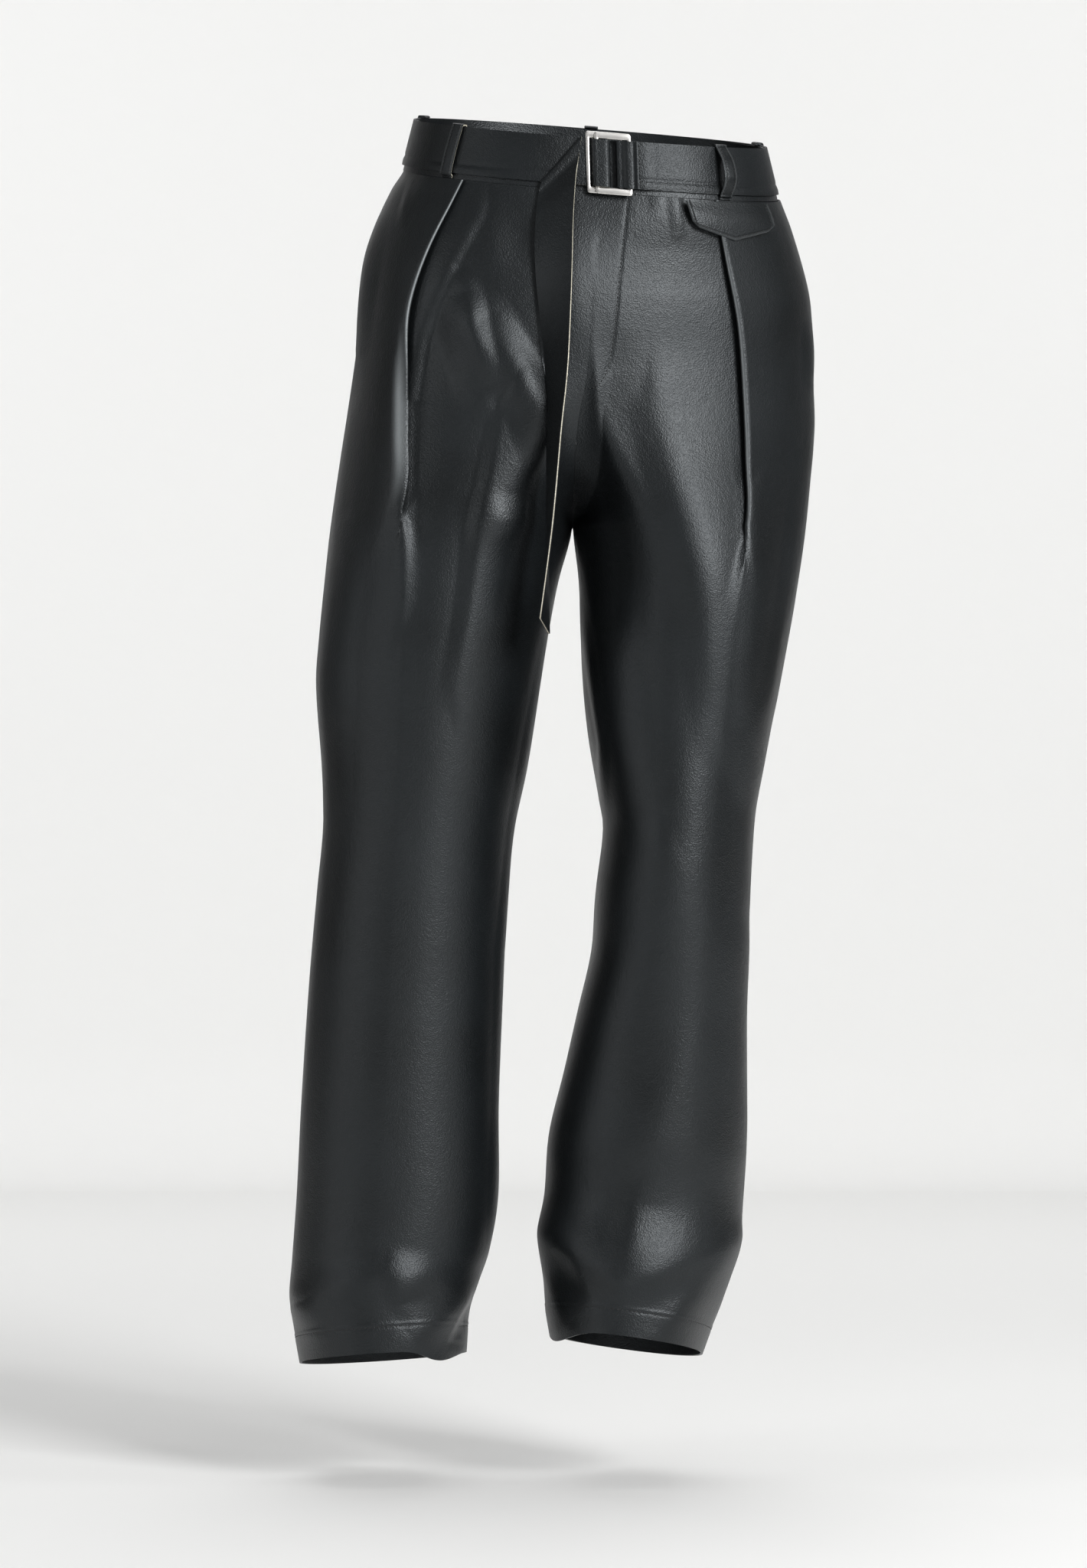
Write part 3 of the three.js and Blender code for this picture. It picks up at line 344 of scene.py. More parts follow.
def pleatColumns(leg, section, z):
    # from the outseam in to the pleat's edge, round, back under, round again and on to the inner edge;
    # the edge rolls over by the lip, and lower down the same columns spread evenly over a plain ridge
    total = section[1][:, -1:]
    edge = distanceAt(leg, section, along(leg["pleat"], "x", z))[:, None]
    depth, pitch = (np.maximum(0, along(leg["pleat"], k, z))[:, None] for k in ("depth", "pitch"))
    opened = np.clip(along(leg["pleat"], "open", z), 0, 1)[:, None]
    lip = leg["lip"] * ease(z, -135, -195)[:, None]
    wide = np.maximum(lip, 5)
    drop = np.minimum(0.32 * lip, 0.6 * pitch)
    swellOut, swellIn = 85, 18  # how far the swell beside the edge reaches, outwards and inwards
    run = np.concatenate([(edge - wide) * np.linspace(0, 1, detail["outerRun"]),
                          edge - wide * np.linspace(0.8, 0.2, detail["lipRun"])], 1)
    angles = np.linspace(0, math.pi, detail["turn"] + 2)[1:-1]
    turnX, turnY = pitch / 2 * np.sin(angles), pitch / 2 * np.cos(angles)
    under = edge - depth * np.linspace(0, 1, detail["between"] + 2)[1:-1]
    onward = lerp(edge - depth + 1, total, np.linspace(0, 1, detail["innerRun"]))
    folded = np.concatenate([run, edge + turnX, under, edge - depth - turnX, onward], 1)
    top = (2 * pitch * np.clip(1 - (edge - run) / swellOut, 0, 1)**2
           - drop * np.clip(1 - (edge - run) / wide, 0, 1))
    rolled = 1.5 * pitch + turnY - drop * (0.5 + 0.5 * np.cos(angles))
    out = np.concatenate([top, rolled, under * 0 + pitch, 0.5 * pitch + turnY, onward * 0], 1)
    plain = total * np.linspace(0, 1, folded.shape[1])
    away = np.where(plain < edge, (edge - plain) / swellOut, (plain - edge) / swellIn)
    ridge = 2 * pitch * np.clip(1 - away, 0, 1)**2
    return lerp(folded, plain, opened), lerp(out, ridge, opened)


def clothPoints(leg, half, z, distance, out, section=None):
    # the cloth's middle surface at heights z [rows] and distances [rows, columns] from the outseam
    section = section or halfSection(leg, half, z)
    total = section[1][:, -1:]
    p, n = onSection(leg, half, section, distance)
    nearEdge = np.clip(np.minimum(distance, total - distance) / 22, 0, 1)
    height = z[:, None] + lift(leg, p[..., 0], p[..., 1], z[:, None])
    push = out + sum(foldHeight(f, p[..., 0], height) for f in leg[half]) * nearEdge
    return np.concatenate([p + n * push[..., None], height[..., None]], 2), n


def panelGrid(leg, half):
    # the panel's middle surface, [rows, columns, 3], kept half a seam's gap off the two seams
    z = rowHeights(leg)
    section = halfSection(leg, half, z)
    total = section[1][:, -1:]
    if half == "front":
        distance, out = pleatColumns(leg, section, z)
    else:
        distance = total * np.linspace(0, 1, detail["backColumns"])
        out = distance * 0
    clear = np.full(distance.shape, cloth["seamGap"] / 2)
    clear[:, -1] = np.where(z > rise["crotchZ"], 0, clear[:, -1])
    distance = np.clip(distance, cloth["seamGap"] / 2, total - clear)
    return clothPoints(leg, half, z, distance, out, section)[0]


def wallThickness(leg, grid):
    # thicker over the hem's turn-up, with the groove that its stitches pull in near the top of it
    hem = leg["hem"]
    level = hem["level"] + hem["slopeX"] * (grid[..., 0] - hem["x"]) + hem["slopeY"] * grid[..., 1]
    above = grid[..., 2] - level - cloth["hemDepth"]
    thick = lerp(cloth["hemThick"], cloth["thick"], ease(above, 0, 2.5))
    return thick - 0.8 * np.exp(-((above + 2) / 1.3)**2)


def pleatPaintedHighlight(leg, columnCount):
    # a painted highlight along the pleat: a narrow bell over the columns at the pleat's turn, a wide one on
    # the lip
    z = rowHeights(leg)
    peak, fadeEnd, fadeStart = leg["paintedHighlight"]
    shut = 1 - np.clip(along(leg["pleat"], "open", z), 0, 1)
    sharp = np.clip(along(leg["pleat"], "pitch", z) / 3, 0, 1) * shut * peak * ease(z, fadeEnd, fadeStart)
    soft = 0.6 * (leg["lip"] > 0) * ease(z, -150, -225) * ease(z, -315, -250)
    column = np.arange(columnCount) - detail["outerRun"]
    return (sharp[:, None] * np.exp(-((column - 5.8) / 0.9)**2)
            + soft[:, None] * np.exp(-((column - 1.8) / 2.1)**2))


# Walls
def gridNormals(grid, closed):
    # across each row times down each column, with one-sided slopes at open edges
    if closed:
        across = np.roll(grid, -1, 1) - np.roll(grid, 1, 1)
    else:
        across = np.gradient(grid, axis=1, edge_order=2 if grid.shape[1] > 2 else 1)
    down = np.gradient(grid, axis=0, edge_order=2 if grid.shape[0] > 2 else 1)
    n = np.cross(across, down)
    return n / np.maximum(np.linalg.norm(n, axis=2, keepdims=True), 1e-12)


def quads(a, b, c, d):
    # four-cornered faces from the index arrays of their corners
    return np.stack([a, b, c, d], -1).reshape(-1, 4)


def makeWall(name, grid, thick, facing=1, closed=False, level=(), edgeSlots=None, sharpAt=50, highlightShare=0.0):
    # a closed wall round a middle surface: both faces and the edges between; facing turns it inside out
    rows, cols = grid.shape[:2]
    n = gridNormals(grid, closed) * facing
    for row in level:
        n[row, :, 2] = 0
        n[row] /= np.linalg.norm(n[row], axis=1, keepdims=True)
    half = (np.asarray(thick) / 2 * np.ones((rows, cols)))[..., None] * n
    verts = np.concatenate([(grid + half).reshape(-1, 3), (grid - half).reshape(-1, 3)]) * toMetres
    index = np.arange(rows * cols).reshape(rows, cols)
    if closed:
        index = np.concatenate([index, index[:, :1]], 1)
    inner = index + rows * cols
    outerFaces = quads(index[:-1, :-1], index[:-1, 1:], index[1:, 1:], index[1:, :-1])
    innerFaces = quads(inner[:-1, :-1], inner[1:, :-1], inner[1:, 1:], inner[:-1, 1:])
    edges = [quads(index[0, :-1], inner[0, :-1], inner[0, 1:], index[0, 1:]),
             quads(index[-1, :-1], index[-1, 1:], inner[-1, 1:], inner[-1, :-1])]
    if not closed:
        edges += [quads(index[:-1, 0], index[1:, 0], inner[1:, 0], inner[:-1, 0]),
                  quads(index[:-1, -1], inner[:-1, -1], inner[1:, -1], index[1:, -1])]
    faces = np.concatenate([outerFaces, innerFaces] + edges)
    if facing < 0:
        faces = faces[:, ::-1]
    slots = np.zeros(len(faces), int)
    start = len(outerFaces) + len(innerFaces)
    for k, edge in enumerate(edges):
        if edgeSlots:
            slots[start:start + len(edge)] = edgeSlots[k]
        start += len(edge)
    piece = makeMesh(name, verts, faces, slots, sharpAt)
    # the map's first value is 0 on the outer face and 1 on the inner, its second the share of painted
    # highlight
    paintedHighlight = np.concatenate([(highlightShare * np.ones((rows, cols))).ravel(), np.zeros(rows * cols)])
    depth = np.stack([faces >= rows * cols, paintedHighlight[faces]], -1).astype(np.float32)
    piece.data.uv_layers.new(name="Depth").data.foreach_set("uv", depth.ravel())
    return piece


def makeMesh(name, verts, faces, slots=None, sharpAt=50):
    mesh = bpy.data.meshes.new(name)
    mesh.from_pydata(verts, [], faces)
    if slots is not None:
        mesh.polygons.foreach_set("material_index", np.asarray(slots, np.int32))
    mesh.update()
    mesh.shade_smooth()
    mesh.set_sharp_from_angle(angle=math.radians(sharpAt))
    piece = bpy.data.objects.new(name, mesh)
    bpy.context.scene.collection.objects.link(piece)
    return piece


def pieceName(nodeName):
    return nodeName.title().replace("_", "")


def place(piece, materials, nodes=()):
    # every piece rides on the one body, takes its materials and stands for its CAD nodes
    for material in materials:
        piece.data.materials.append(material)
    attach(piece, "root")
    if nodes:
        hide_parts(*nodes)
    return piece


# Materials
def linear(hexColour):
    # an sRGB hex colour as linear red, green and blue
    v = [int(hexColour[i:i + 2], 16) / 255 for i in (1, 3, 5)]
    return tuple(c / 12.92 if c <= 0.04045 else ((c + 0.055) / 1.055)**2.4 for c in v) + (1.0,)


def fill(tree, made, links):
    # sets a node's inputs; a link's value is a socket or a plain value, its key the input's name or number
    for key, value in links.items():
        numbered = key[0] == "i" and key[1:].isdigit()
        socket = made.inputs[int(key[1:]) if numbered else key.replace("_", " ")]
        if isinstance(value, bpy.types.NodeSocket):
            tree.links.new(value, socket)
        else:
            socket.default_value = value


def node(tree, kind, settings=None, **links):
    made = tree.nodes.new(kind)
    for key, value in (settings or {}).items():
        setattr(made, key, value)
    fill(tree, made, links)
    return made


def newMaterial(name):
    material = bpy.data.materials.new(name)
    material.use_nodes = True
    return material, material.node_tree


def onObject(tree):
    return node(tree, "ShaderNodeTexCoord").outputs["Object"]  # every texture is laid by the object's metres


def surface(material, **inputs):
    fill(material.node_tree, material.node_tree.nodes["Principled BSDF"], inputs)
    return material


def ramp(tree, source, stops):
    made = node(tree, "ShaderNodeValToRGB", None, Fac=source)
    while len(made.color_ramp.elements) < len(stops):
        made.color_ramp.elements.new(0.5)
    for element, (at, colour) in zip(made.color_ramp.elements, stops):
        element.position, element.color = at, colour
    return made.outputs["Color"]


def blend(tree, share, first, second):
    return node(tree, "ShaderNodeMix", {"data_type": "RGBA"}, i0=share, i6=first, i7=second).outputs[2]


def depthMap(tree):
    # the walls' own map: X runs from the outer face to the inner, Y is the share of painted highlight
    return node(tree, "ShaderNodeSeparateXYZ", None,
                Vector=node(tree, "ShaderNodeUVMap", {"uv_map": "Depth"}).outputs["UV"]).outputs


# the pale grey below is painted on as highlight along the pleats' edges, the loops and the flap's rim
leatherLook = {"colour": "#0d0f10", "worn": "#121517", "paintedHighlight": "#8f9496", "grainMm": 1.1, "creaseMm": 7,
               "roughness": 0.41, "grainDepth": 0.5, "reflect": 0.43}


def coatedLeather(name, look):
    # polyurethane coated cloth, embossed by a roller: a near-black satin film with a shallow fine grain,
    # which breaks the highlights up a little and leaves broad soft reflections
    material, tree = newMaterial(name)
    where = onObject(tree)
    grain = node(tree, "ShaderNodeTexVoronoi", {"feature": "SMOOTH_F1"}, Vector=where,
                 Scale=1000 / look["grainMm"], Smoothness=0.6)
    fine = node(tree, "ShaderNodeTexNoise", None, Vector=where, Scale=1000 / (look["grainMm"] * 2.2),
                Detail=3.0)
    crease = node(tree, "ShaderNodeTexNoise", None, Vector=where, Scale=1000 / look["creaseMm"], Detail=4.0,
                  Roughness=0.55, Distortion=0.4)
    cloud = node(tree, "ShaderNodeTexNoise", None, Vector=where, Scale=9.0, Detail=3.0)
    grainSum = node(tree, "ShaderNodeMath", {"operation": "MULTIPLY_ADD"}, i0=fine.outputs["Fac"], i1=0.9,
                    i2=grain.outputs["Distance"])
    total = node(tree, "ShaderNodeMath", {"operation": "MULTIPLY_ADD"}, i0=crease.outputs["Fac"], i1=1.2,
                 i2=grainSum.outputs[0])
    bump = node(tree, "ShaderNodeBump", None, Height=total.outputs[0], Strength=look["grainDepth"],
                Distance=0.0004)
    mixed = ramp(tree, cloud.outputs["Fac"], [(0.35, linear(look["colour"])), (0.7, linear(look["worn"]))])
    # the walls' map mixes in the pale grey, a painted highlight
    film = blend(tree, depthMap(tree)["Y"], mixed, linear(look["paintedHighlight"]))
    rough = node(tree, "ShaderNodeMapRange", None, Value=cloud.outputs["Fac"], From_Min=0.3, From_Max=0.7,
                 To_Min=look["roughness"] - 0.05, To_Max=look["roughness"] + 0.06)
    return surface(material, Base_Color=film, Roughness=rough.outputs["Result"],
                   Normal=bump.outputs["Normal"], Specular_IOR_Level=look["reflect"],
                   Specular_Tint=linear("#f1f7fb"), IOR=1.5)


def brushedSteel(name):
    # satin polished steel wire, pressed flat: bright, with soft edges and fine scratches along it
    material, tree = newMaterial(name)
    where = onObject(tree)
    scratch = node(tree, "ShaderNodeTexNoise", None, Vector=where, Scale=2600.0, Detail=2.0)
    rough = node(tree, "ShaderNodeMapRange", None, Value=scratch.outputs["Fac"], To_Min=0.24, To_Max=0.42)
    bump = node(tree, "ShaderNodeBump", None, Height=scratch.outputs["Fac"], Strength=0.15, Distance=0.0002)
    return surface(material, Base_Color=linear("#dad8d5"), Metallic=1.0, Roughness=rough.outputs["Result"],
                   Normal=bump.outputs["Normal"])


def rawEdgeAndHighlight(name):
    # the cut edge of the strap: two black coated faces with their pale woven backing as a cream line between
    # on the front right belt loop the same cream line is a painted highlight along its edge towards the key
    # light
    material, tree = newMaterial(name)
    where = onObject(tree)
    fibre = node(tree, "ShaderNodeTexNoise", None, Vector=where, Scale=900.0, Detail=2.0)
    cream = ramp(tree, fibre.outputs["Fac"], [(0.3, linear("#a39d8a")), (0.7, linear("#dcd7c6"))])
    black, white = (0, 0, 0, 1), (1, 1, 1, 1)
    line = ramp(tree, depthMap(tree)["X"], [(0.24, black), (0.3, white), (0.64, white), (0.7, black)])
    return surface(material, Base_Color=blend(tree, line, linear("#0f1112"), cream), Roughness=0.7)


def sewingThread(name):
    # bonded polyester thread, black and a little glossier than the cloth, twisted in two plies
    material, tree = newMaterial(name)
    where = onObject(tree)
    twist = node(tree, "ShaderNodeTexWave", None, Vector=where, Scale=900.0, Distortion=1.0)
    mixed = ramp(tree, twist.outputs["Fac"], [(0.0, linear("#0b0c0c")), (1.0, linear("#17191a"))])
    return surface(material, Base_Color=mixed, Roughness=0.55)


leather = coatedLeather("Leather_coated_embossed", leatherLook)
beltLeather = coatedLeather("Leather_coated_belt", dict(leatherLook, roughness=0.42, reflect=0.36))
steel = brushedSteel("Steel_satin")
cutEdgeAndHighlight = rawEdgeAndHighlight("Leather_coated_cut_edge_and_painted_highlight")
thread = sewingThread("Thread_polyester")
print("materials made")

# The four panels
grids = {}
legs = {"right": rightLeg, "left": leftLeg}
for legName, leg in legs.items():
    for half in ("front", "back"):
        grid = panelGrid(leg, half)
        name = f"{half}_{legName}"
        # the front panels take a highlight painted along each pleat's edge
        highlightShare = pleatPaintedHighlight(leg, grid.shape[1]) if half == "front" else 0.0
        panel = makeWall(pieceName(name) + "Panel", grid, wallThickness(leg, grid), outward(leg, half),
                         level=(0,), highlightShare=highlightShare)
        place(panel, [leather], [name])
        grids[name] = grid
print("panels made")

# The waist's course: the closed section at the belt's middle, by the distance along it from the front
strap = {"width": 40, "thick": 1.8}
waistSections = [(leftLeg, "front", True), (leftLeg, "back", False),
                 (rightLeg, "back", True), (rightLeg, "front", False)]
course = []
for leg, half, backwards in waistSections:
    points = halfSection(leg, half, np.array([0.0]))[0][0]
    course.append((points[::-1] if backwards else points)[1:])
course = np.concatenate(course)
courseEnds = np.concatenate([course, course[:1]])
courseAt = np.concatenate([[0], np.cumsum(np.linalg.norm(np.diff(courseEnds, axis=0), axis=1))])
waistLength = courseAt[-1]
frontAt = -course[0][0]  # the course starts just past the middle of the front
courseTangents = np.gradient(np.concatenate([course[-1:], courseEnds, course[1:2]]), axis=0)[1:-1]


def onWaist(s, out, up):
    # a point by its distance along the waist, out from the waistband's middle and up its height
    s, out, up = np.broadcast_arrays(*(np.asarray(v, float) for v in (s, out, up)))
    at = (frontAt + s + waist["shear"] * up) % waistLength
    p = np.stack([np.interp(at, courseAt, courseEnds[:, k]) for k in (0, 1)], -1)
    t = np.stack([np.interp(at, courseAt, courseTangents[:, k]) for k in (0, 1)], -1)
    t /= np.linalg.norm(t, axis=-1, keepdims=True)
    n = np.stack([t[..., 1], -t[..., 0]], -1)
    lean = -up * (waist["leanAll"] + waist["leanSides"] * n[..., 0]**2)
    p = p + n * (out + lean)[..., None]
    z = up + waist["tiltX"] * p[..., 0] + waist["tiltY"] * p[..., 1]
    return np.concatenate([p, z[..., None]], -1)


def smoothPath(stations, steps):
    # Catmull-Rom through stations, steps points a span
    p = np.array(stations, float)
    q = np.concatenate([2 * p[:1] - p[1:2], p, 2 * p[-1:] - p[-2:-1]])
    t = np.linspace(0, 1, steps, endpoint=False)[:, None]
    spans = [0.5 * (2 * b + (c - a) * t + (2 * a - 5 * b + 4 * c - d) * t**2 + (3 * b - a - 3 * c + d) * t**3)
             for a, b, c, d in zip(q[:-3], q[1:-2], q[2:-1], q[3:])]
    return np.concatenate(spans + [p[-1:]])


ups = np.linspace(waist["top"], waist["bottom"], 12)
ringSteps = np.linspace(0, waistLength, 361)[:-1]
bandGrid = onWaist(ringSteps[None, :], 0, ups[:, None])
band = makeWall("Waistband", bandGrid, waist["thick"], closed=True, level=(0, -1))
place(band, [leather], ["waistband"])

# The belt. Levels are the middles of its layers, counted out from the waistband's middle
ring = {"width": 30.5, "height": 52.4, "side": 3.0, "top": 5.6, "thick": 1.8, "innerLeft": -2.9,
        "outerLeft": 4.6}
gap = 0.3
bandFace = waist["thick"] / 2 + gap
layer = strap["thick"] + gap
levels = {"strap": bandFace + strap["thick"] / 2, "under": bandFace + strap["thick"] / 2 + layer,
          "ringInner": bandFace + strap["thick"] * 2 + gap * 2 + ring["thick"] / 2,
          "ringOuter": bandFace + strap["thick"] * 2 + gap * 3 + ring["thick"] * 1.5,
          "over": bandFace + strap["thick"] * 2.5 + gap * 4 + ring["thick"] * 2}
levels["halfway"] = (levels["strap"] + levels["over"]) / 2
stitchLine = 40.7
foldRight = 17.6


def layered(start, rows):
    # (s, out) stations from rows of the way along from the start, a layer's name and the way out from it
    return [(start + s, levels[name] + out) for s, name, out in rows]


def beltStrip(stations, steps=5, columnsAcross=15, crease=0.0):
    # a strip as wide as the belt along (s, out) stations; crease sinks a soft line near its lower edge
    path = smoothPath(stations, steps)
    up = np.linspace(strap["width"] / 2, -strap["width"] / 2, columnsAcross)
    sink = -crease * np.exp(-((up + 12) / 1.6)**2) + crease * 0.8 * np.exp(-((up + 16.5) / 3)**2)
    return onWaist(path[None, :, 0], path[None, :, 1] + sink[:, None], up[:, None])


strapStations = [(stitchLine + gap, levels["under"]), (stitchLine + 7, levels["under"]),
                 (stitchLine + 14, (levels["strap"] + levels["under"]) / 2)]
strapStations += [(s, levels["strap"]) for s in np.arange(stitchLine + 21, waistLength - 2, 14)]
strapStations += [(waistLength + foldRight - 4.6, levels["strap"])]
beltMaterials = [beltLeather, cutEdgeAndHighlight]
beltStrap = makeWall("BeltStrap", beltStrip(strapStations, 6, 31, 0.5), strap["thick"])
place(beltStrap, beltMaterials, ["belt_strap"])

innerRight, outerRight = ring["innerLeft"] + ring["width"], ring["outerLeft"] + ring["width"]
wrap = strap["thick"] / 2 + gap
levels["innerFace"] = levels["ringInner"] + ring["thick"] / 2 + wrap
keeperStations = layered(stitchLine, [(0, "under", 0), (-1.1, "under", 0.3), (-2.3, "under", 1.5)])
keeperStations += layered(outerRight, [(2.1, "over", -2.4), (1.3, "over", -0.6), (0, "over", 0.1)])
keeperStations += layered(outerRight - ring["side"], [(0, "over", 0.1), (-1.6, "over", -0.4)])
keeperStations += layered(innerRight, [(1, "innerFace", 0.6), (-0.4, "innerFace", 0.1)])
keeperStations += layered(innerRight - ring["side"], [
    (0.6, "innerFace", 0.1), (-0.5, "innerFace", -0.1), (-wrap, "innerFace", -0.9),
    (-wrap - 0.1, "innerFace", -2.1), (-wrap - 0.1, "strap", 1.4), (-0.8, "strap", 0.5), (0.3, "strap", 0)])
keeperStations += layered(stitchLine, [(4, "strap", 0)])
keeper = makeWall("BeltKeeper", beltStrip(keeperStations, 5, 9), strap["thick"], -1)
place(keeper, beltMaterials, ["belt_keeper"])


def frameOutline(width, height, corner, steps=24, cornerSteps=7):
    # a rectangle with round corners, run round from the middle of the right side
    points = []
    for k, (sx, sy) in enumerate([(1, 1), (-1, 1), (-1, -1), (1, -1)]):
        centre = np.array([sx * (width / 2 - corner), sy * (height / 2 - corner)])
        a = np.linspace(k * math.pi / 2, (k + 1) * math.pi / 2, cornerSteps)
        arc = centre + corner * np.stack([np.cos(a), np.sin(a)], -1)
        if points:
            points.append(lerp(points[-1][-1], arc[0], np.linspace(0, 1, steps)[1:-1, None]))
        points.append(arc)
    points.append(lerp(points[-1][-1], points[0][0], np.linspace(0, 1, steps)[1:-1, None]))
    return np.concatenate(points)


def makeRing(name, left, level, nodeName):
    # flat rounded bars: at each station a flattened round section between the outer and inner outline
    outer = frameOutline(ring["width"], ring["height"], 2.2)
    inner = frameOutline(ring["width"] - 2 * ring["side"], ring["height"] - 2 * ring["top"], 1.0)
    a = np.linspace(0, 2 * math.pi, 17)[:-1]
    squareCos, squareSin = (np.sign(f) * np.abs(f)**0.55 for f in (np.cos(a), np.sin(a)))
    across = (0.5 - 0.5 * squareCos)[None, :, None]
    flat = lerp(outer[:, None, :], inner[:, None, :], across)
    out = level + ring["thick"] / 2 * squareSin[None, :] * np.ones((len(outer), 1))
    points = onWaist(left + ring["width"] / 2 + flat[..., 0], out, flat[..., 1])
    rows, cols = points.shape[:2]
    index = np.arange(rows * cols).reshape(rows, cols)
    index = np.concatenate([index, index[:1]], 0)
    index = np.concatenate([index, index[:, :1]], 1)
    faces = quads(index[:-1, :-1], index[1:, :-1], index[1:, 1:], index[:-1, 1:])
    piece = makeMesh(name, points.reshape(-1, 3) * toMetres, faces, sharpAt=60)
    return place(piece, [steel], [nodeName])


makeRing("RingInner", ring["innerLeft"], levels["ringInner"], "ring_inner")
makeRing("RingOuter", ring["outerLeft"], levels["ringOuter"], "ring_outer")

# The tail: over the outer ring's bar, under the inner ring's, folded down on a slant, then hanging
foldStations = layered(foldRight, [
    (-4.3, "strap", 0), (-2.4, "strap", 0.5), (-1.1, "strap", 2), (-0.9, "halfway", 0),
    (-1.1, "over", -2), (-2.4, "over", -0.5), (-4.3, "over", 0.1)])
foldStations += layered(ring["outerLeft"], [
    (3, "over", 0.1), (0.2, "over", 0.1), (-1, "over", -0.5), (-1.4, "over", -1.7), (-1.7, "over", -3.2),
    (-2.4, "under", 1.7), (-3.3, "under", 0.6), (-4.6, "under", 0)])
foldStations += layered(ring["innerLeft"], [(-0.4, "under", 0)])
near, far = ring["innerLeft"] - 2.4, -41
above = levels["under"] + layer
middle = (levels["under"] + above) / 2
slantStations = [  # s, out and up of the near edge, then of the far edge
    (near, levels["under"], 20, far + 2, levels["under"] + 0.5, -20),
    (near - 1, levels["under"] + 0.3, 20.4, far + 0.6, levels["under"] + 0.7, -20.4),
    (near - 1.3, middle, 20.6, far, middle, -20.6),
    (near - 1, above - 0.3, 19.8, far + 0.2, above - 0.3, -21),
    (near - 2.2, above, 14, far - 1.4, above, -26),
    (near - 4.6, above + 1, 0, far - 2.6, above, -33)]
hanging = [  # x and z of the near edge, then of the far edge, and how far it has turned edge on
    (-12, -34, -45.6, -66, 0.1),
    (-14, -66, -46.5, -90, 0.4),
    (-15, -105, -45, -120, 0.8),
    (-16.5, -150, -41, -156, 1),
    (-19, -198, -37, -198, 1),
    (-24, -245, -36.3, -245, 1),
    (-28, -290, -36, -290, 1),
    (-31.5, -326, -36, -326, 1),
    (-36, -362, -35.5, -364, 1),
    (-42, -406, -34.5, -418, 1)]
tailWidth = 38
across = np.linspace(0, 1, 13)
rowsOnBelt = [[(s, out, 20), (s, out, -20)] for s, out in foldStations]
rowsOnBelt += [[r[:3], r[3:]] for r in slantStations]
edgeRows = np.array(rowsOnBelt, float)
tailTop = onWaist(*np.moveaxis(lerp(edgeRows[:, :1], edgeRows[:, 1:], across[None, :, None]), -1, 0))
h = np.array(hanging, float)
lay = []
for x, z in h[:, 2:4]:
    section = halfSection(rightLeg, "front", np.array([z]))
    distance = distanceAt(rightLeg, section, np.array([x]))[:, None]
    lay.append(onSection(rightLeg, "front", section, distance)[0][0, 0, 1])
beltY = onWaist(h[:, 2], above, -30)[:, 1]
farY = np.minimum(np.array(lay) - 5, lerp(beltY - 3, beltY, ease(h[:, 3], -100, -66)))
nearY = farY - 1.5 - np.sqrt(tailWidth**2 - (h[:, 0] - h[:, 2])**2) * h[:, 4]
nearEdge = np.stack([h[:, 0], nearY, h[:, 1]], -1)
farEdge = np.stack([h[:, 2], farY, h[:, 3]], -1)
tailLow = lerp(nearEdge[:, None], farEdge[:, None], across[None, :, None])
tailRows = np.concatenate([tailTop, tailLow])
tailGrid = smoothPath(tailRows.reshape(len(tailRows), -1), 6).reshape(-1, len(across), 3)
tail = makeWall("BeltTail", tailGrid, strap["thick"], edgeSlots=(0, 1, 1, 1))
place(tail, beltMaterials, ["belt_tail"])
print("belt made")

# Belt loops
loop = {"width": 11, "thick": 2.0}
loopClear = levels["strap"] + strap["thick"] / 2 + 0.8 + loop["thick"] / 2
loops = {  # place along the waist, lean, and how far it bows out
    "belt_loop_front_right": (-121, 0.24, 1),
    "belt_loop_front_left": (117, -0.02, 9),
    "belt_loop_back_left": (0.3 * waistLength, 0, 1),
    "belt_loop_centre_back": (0.5 * waistLength, 0, 1),
    "belt_loop_back_right": (0.7 * waistLength, 0, 1)}
loopGrids = {}
beltEdge = strap["width"] / 2 + loop["thick"] / 2
for nodeName, (s, lean, bulge) in loops.items():
    stations = [
        (-0.8, waist["top"] + gap + loop["thick"] / 2),
        (-0.3, beltEdge + 0.1),
        (0.8, beltEdge + 0.4),
        (loopClear - 1.2, beltEdge + 0.4),
        (loopClear - 0.2, beltEdge + 0.2),
        (loopClear, strap["width"] / 2 - 0.4),
        (loopClear + bulge * 0.75, strap["width"] / 4),
        (loopClear + bulge, -2),
        (loopClear + bulge * 0.75, -strap["width"] / 4),
        (loopClear, -strap["width"] / 2 + 0.8),
        (loopClear - 0.9, -strap["width"] / 2 - 1.4),
        (waist["thick"] / 2 + gap + loop["thick"] / 2, -strap["width"] / 2 - 2.4),
        (waist["thick"] / 2 + gap + loop["thick"] / 2, -strap["width"] / 2 - 4.4)]
    path = smoothPath(stations, 6)
    side = np.linspace(-0.5, 0.5, 13)
    pillow = (0.7 * (1 - np.abs(2 * side)**4) - 0.4 * np.exp(-((np.abs(side) - 0.33) / 0.06)**2))[None, :]
    pillow = pillow * ease(path[:, :1], 1, 4)  # rounded edges, and a sunk line beside each
    grid = onWaist(s + side[None, :] * loop["width"] + lean * path[:, 1:], path[:, :1] + pillow, path[:, 1:])
    loopGrids[nodeName] = grid
    # a pale line painted along each edge of every loop, and the cream of the cut edge on one side edge of the
    # front right loop: painted highlights
    piece = makeWall(pieceName(nodeName), grid, loop["thick"], -1,
                     edgeSlots=(0, 0, 0, 1 if nodeName == "belt_loop_front_right" else 0),
                     highlightShare=0.12 * np.exp(-((np.abs(side) - 0.42) / 0.05)**2)[None, :])
    place(piece, beltMaterials, [nodeName])

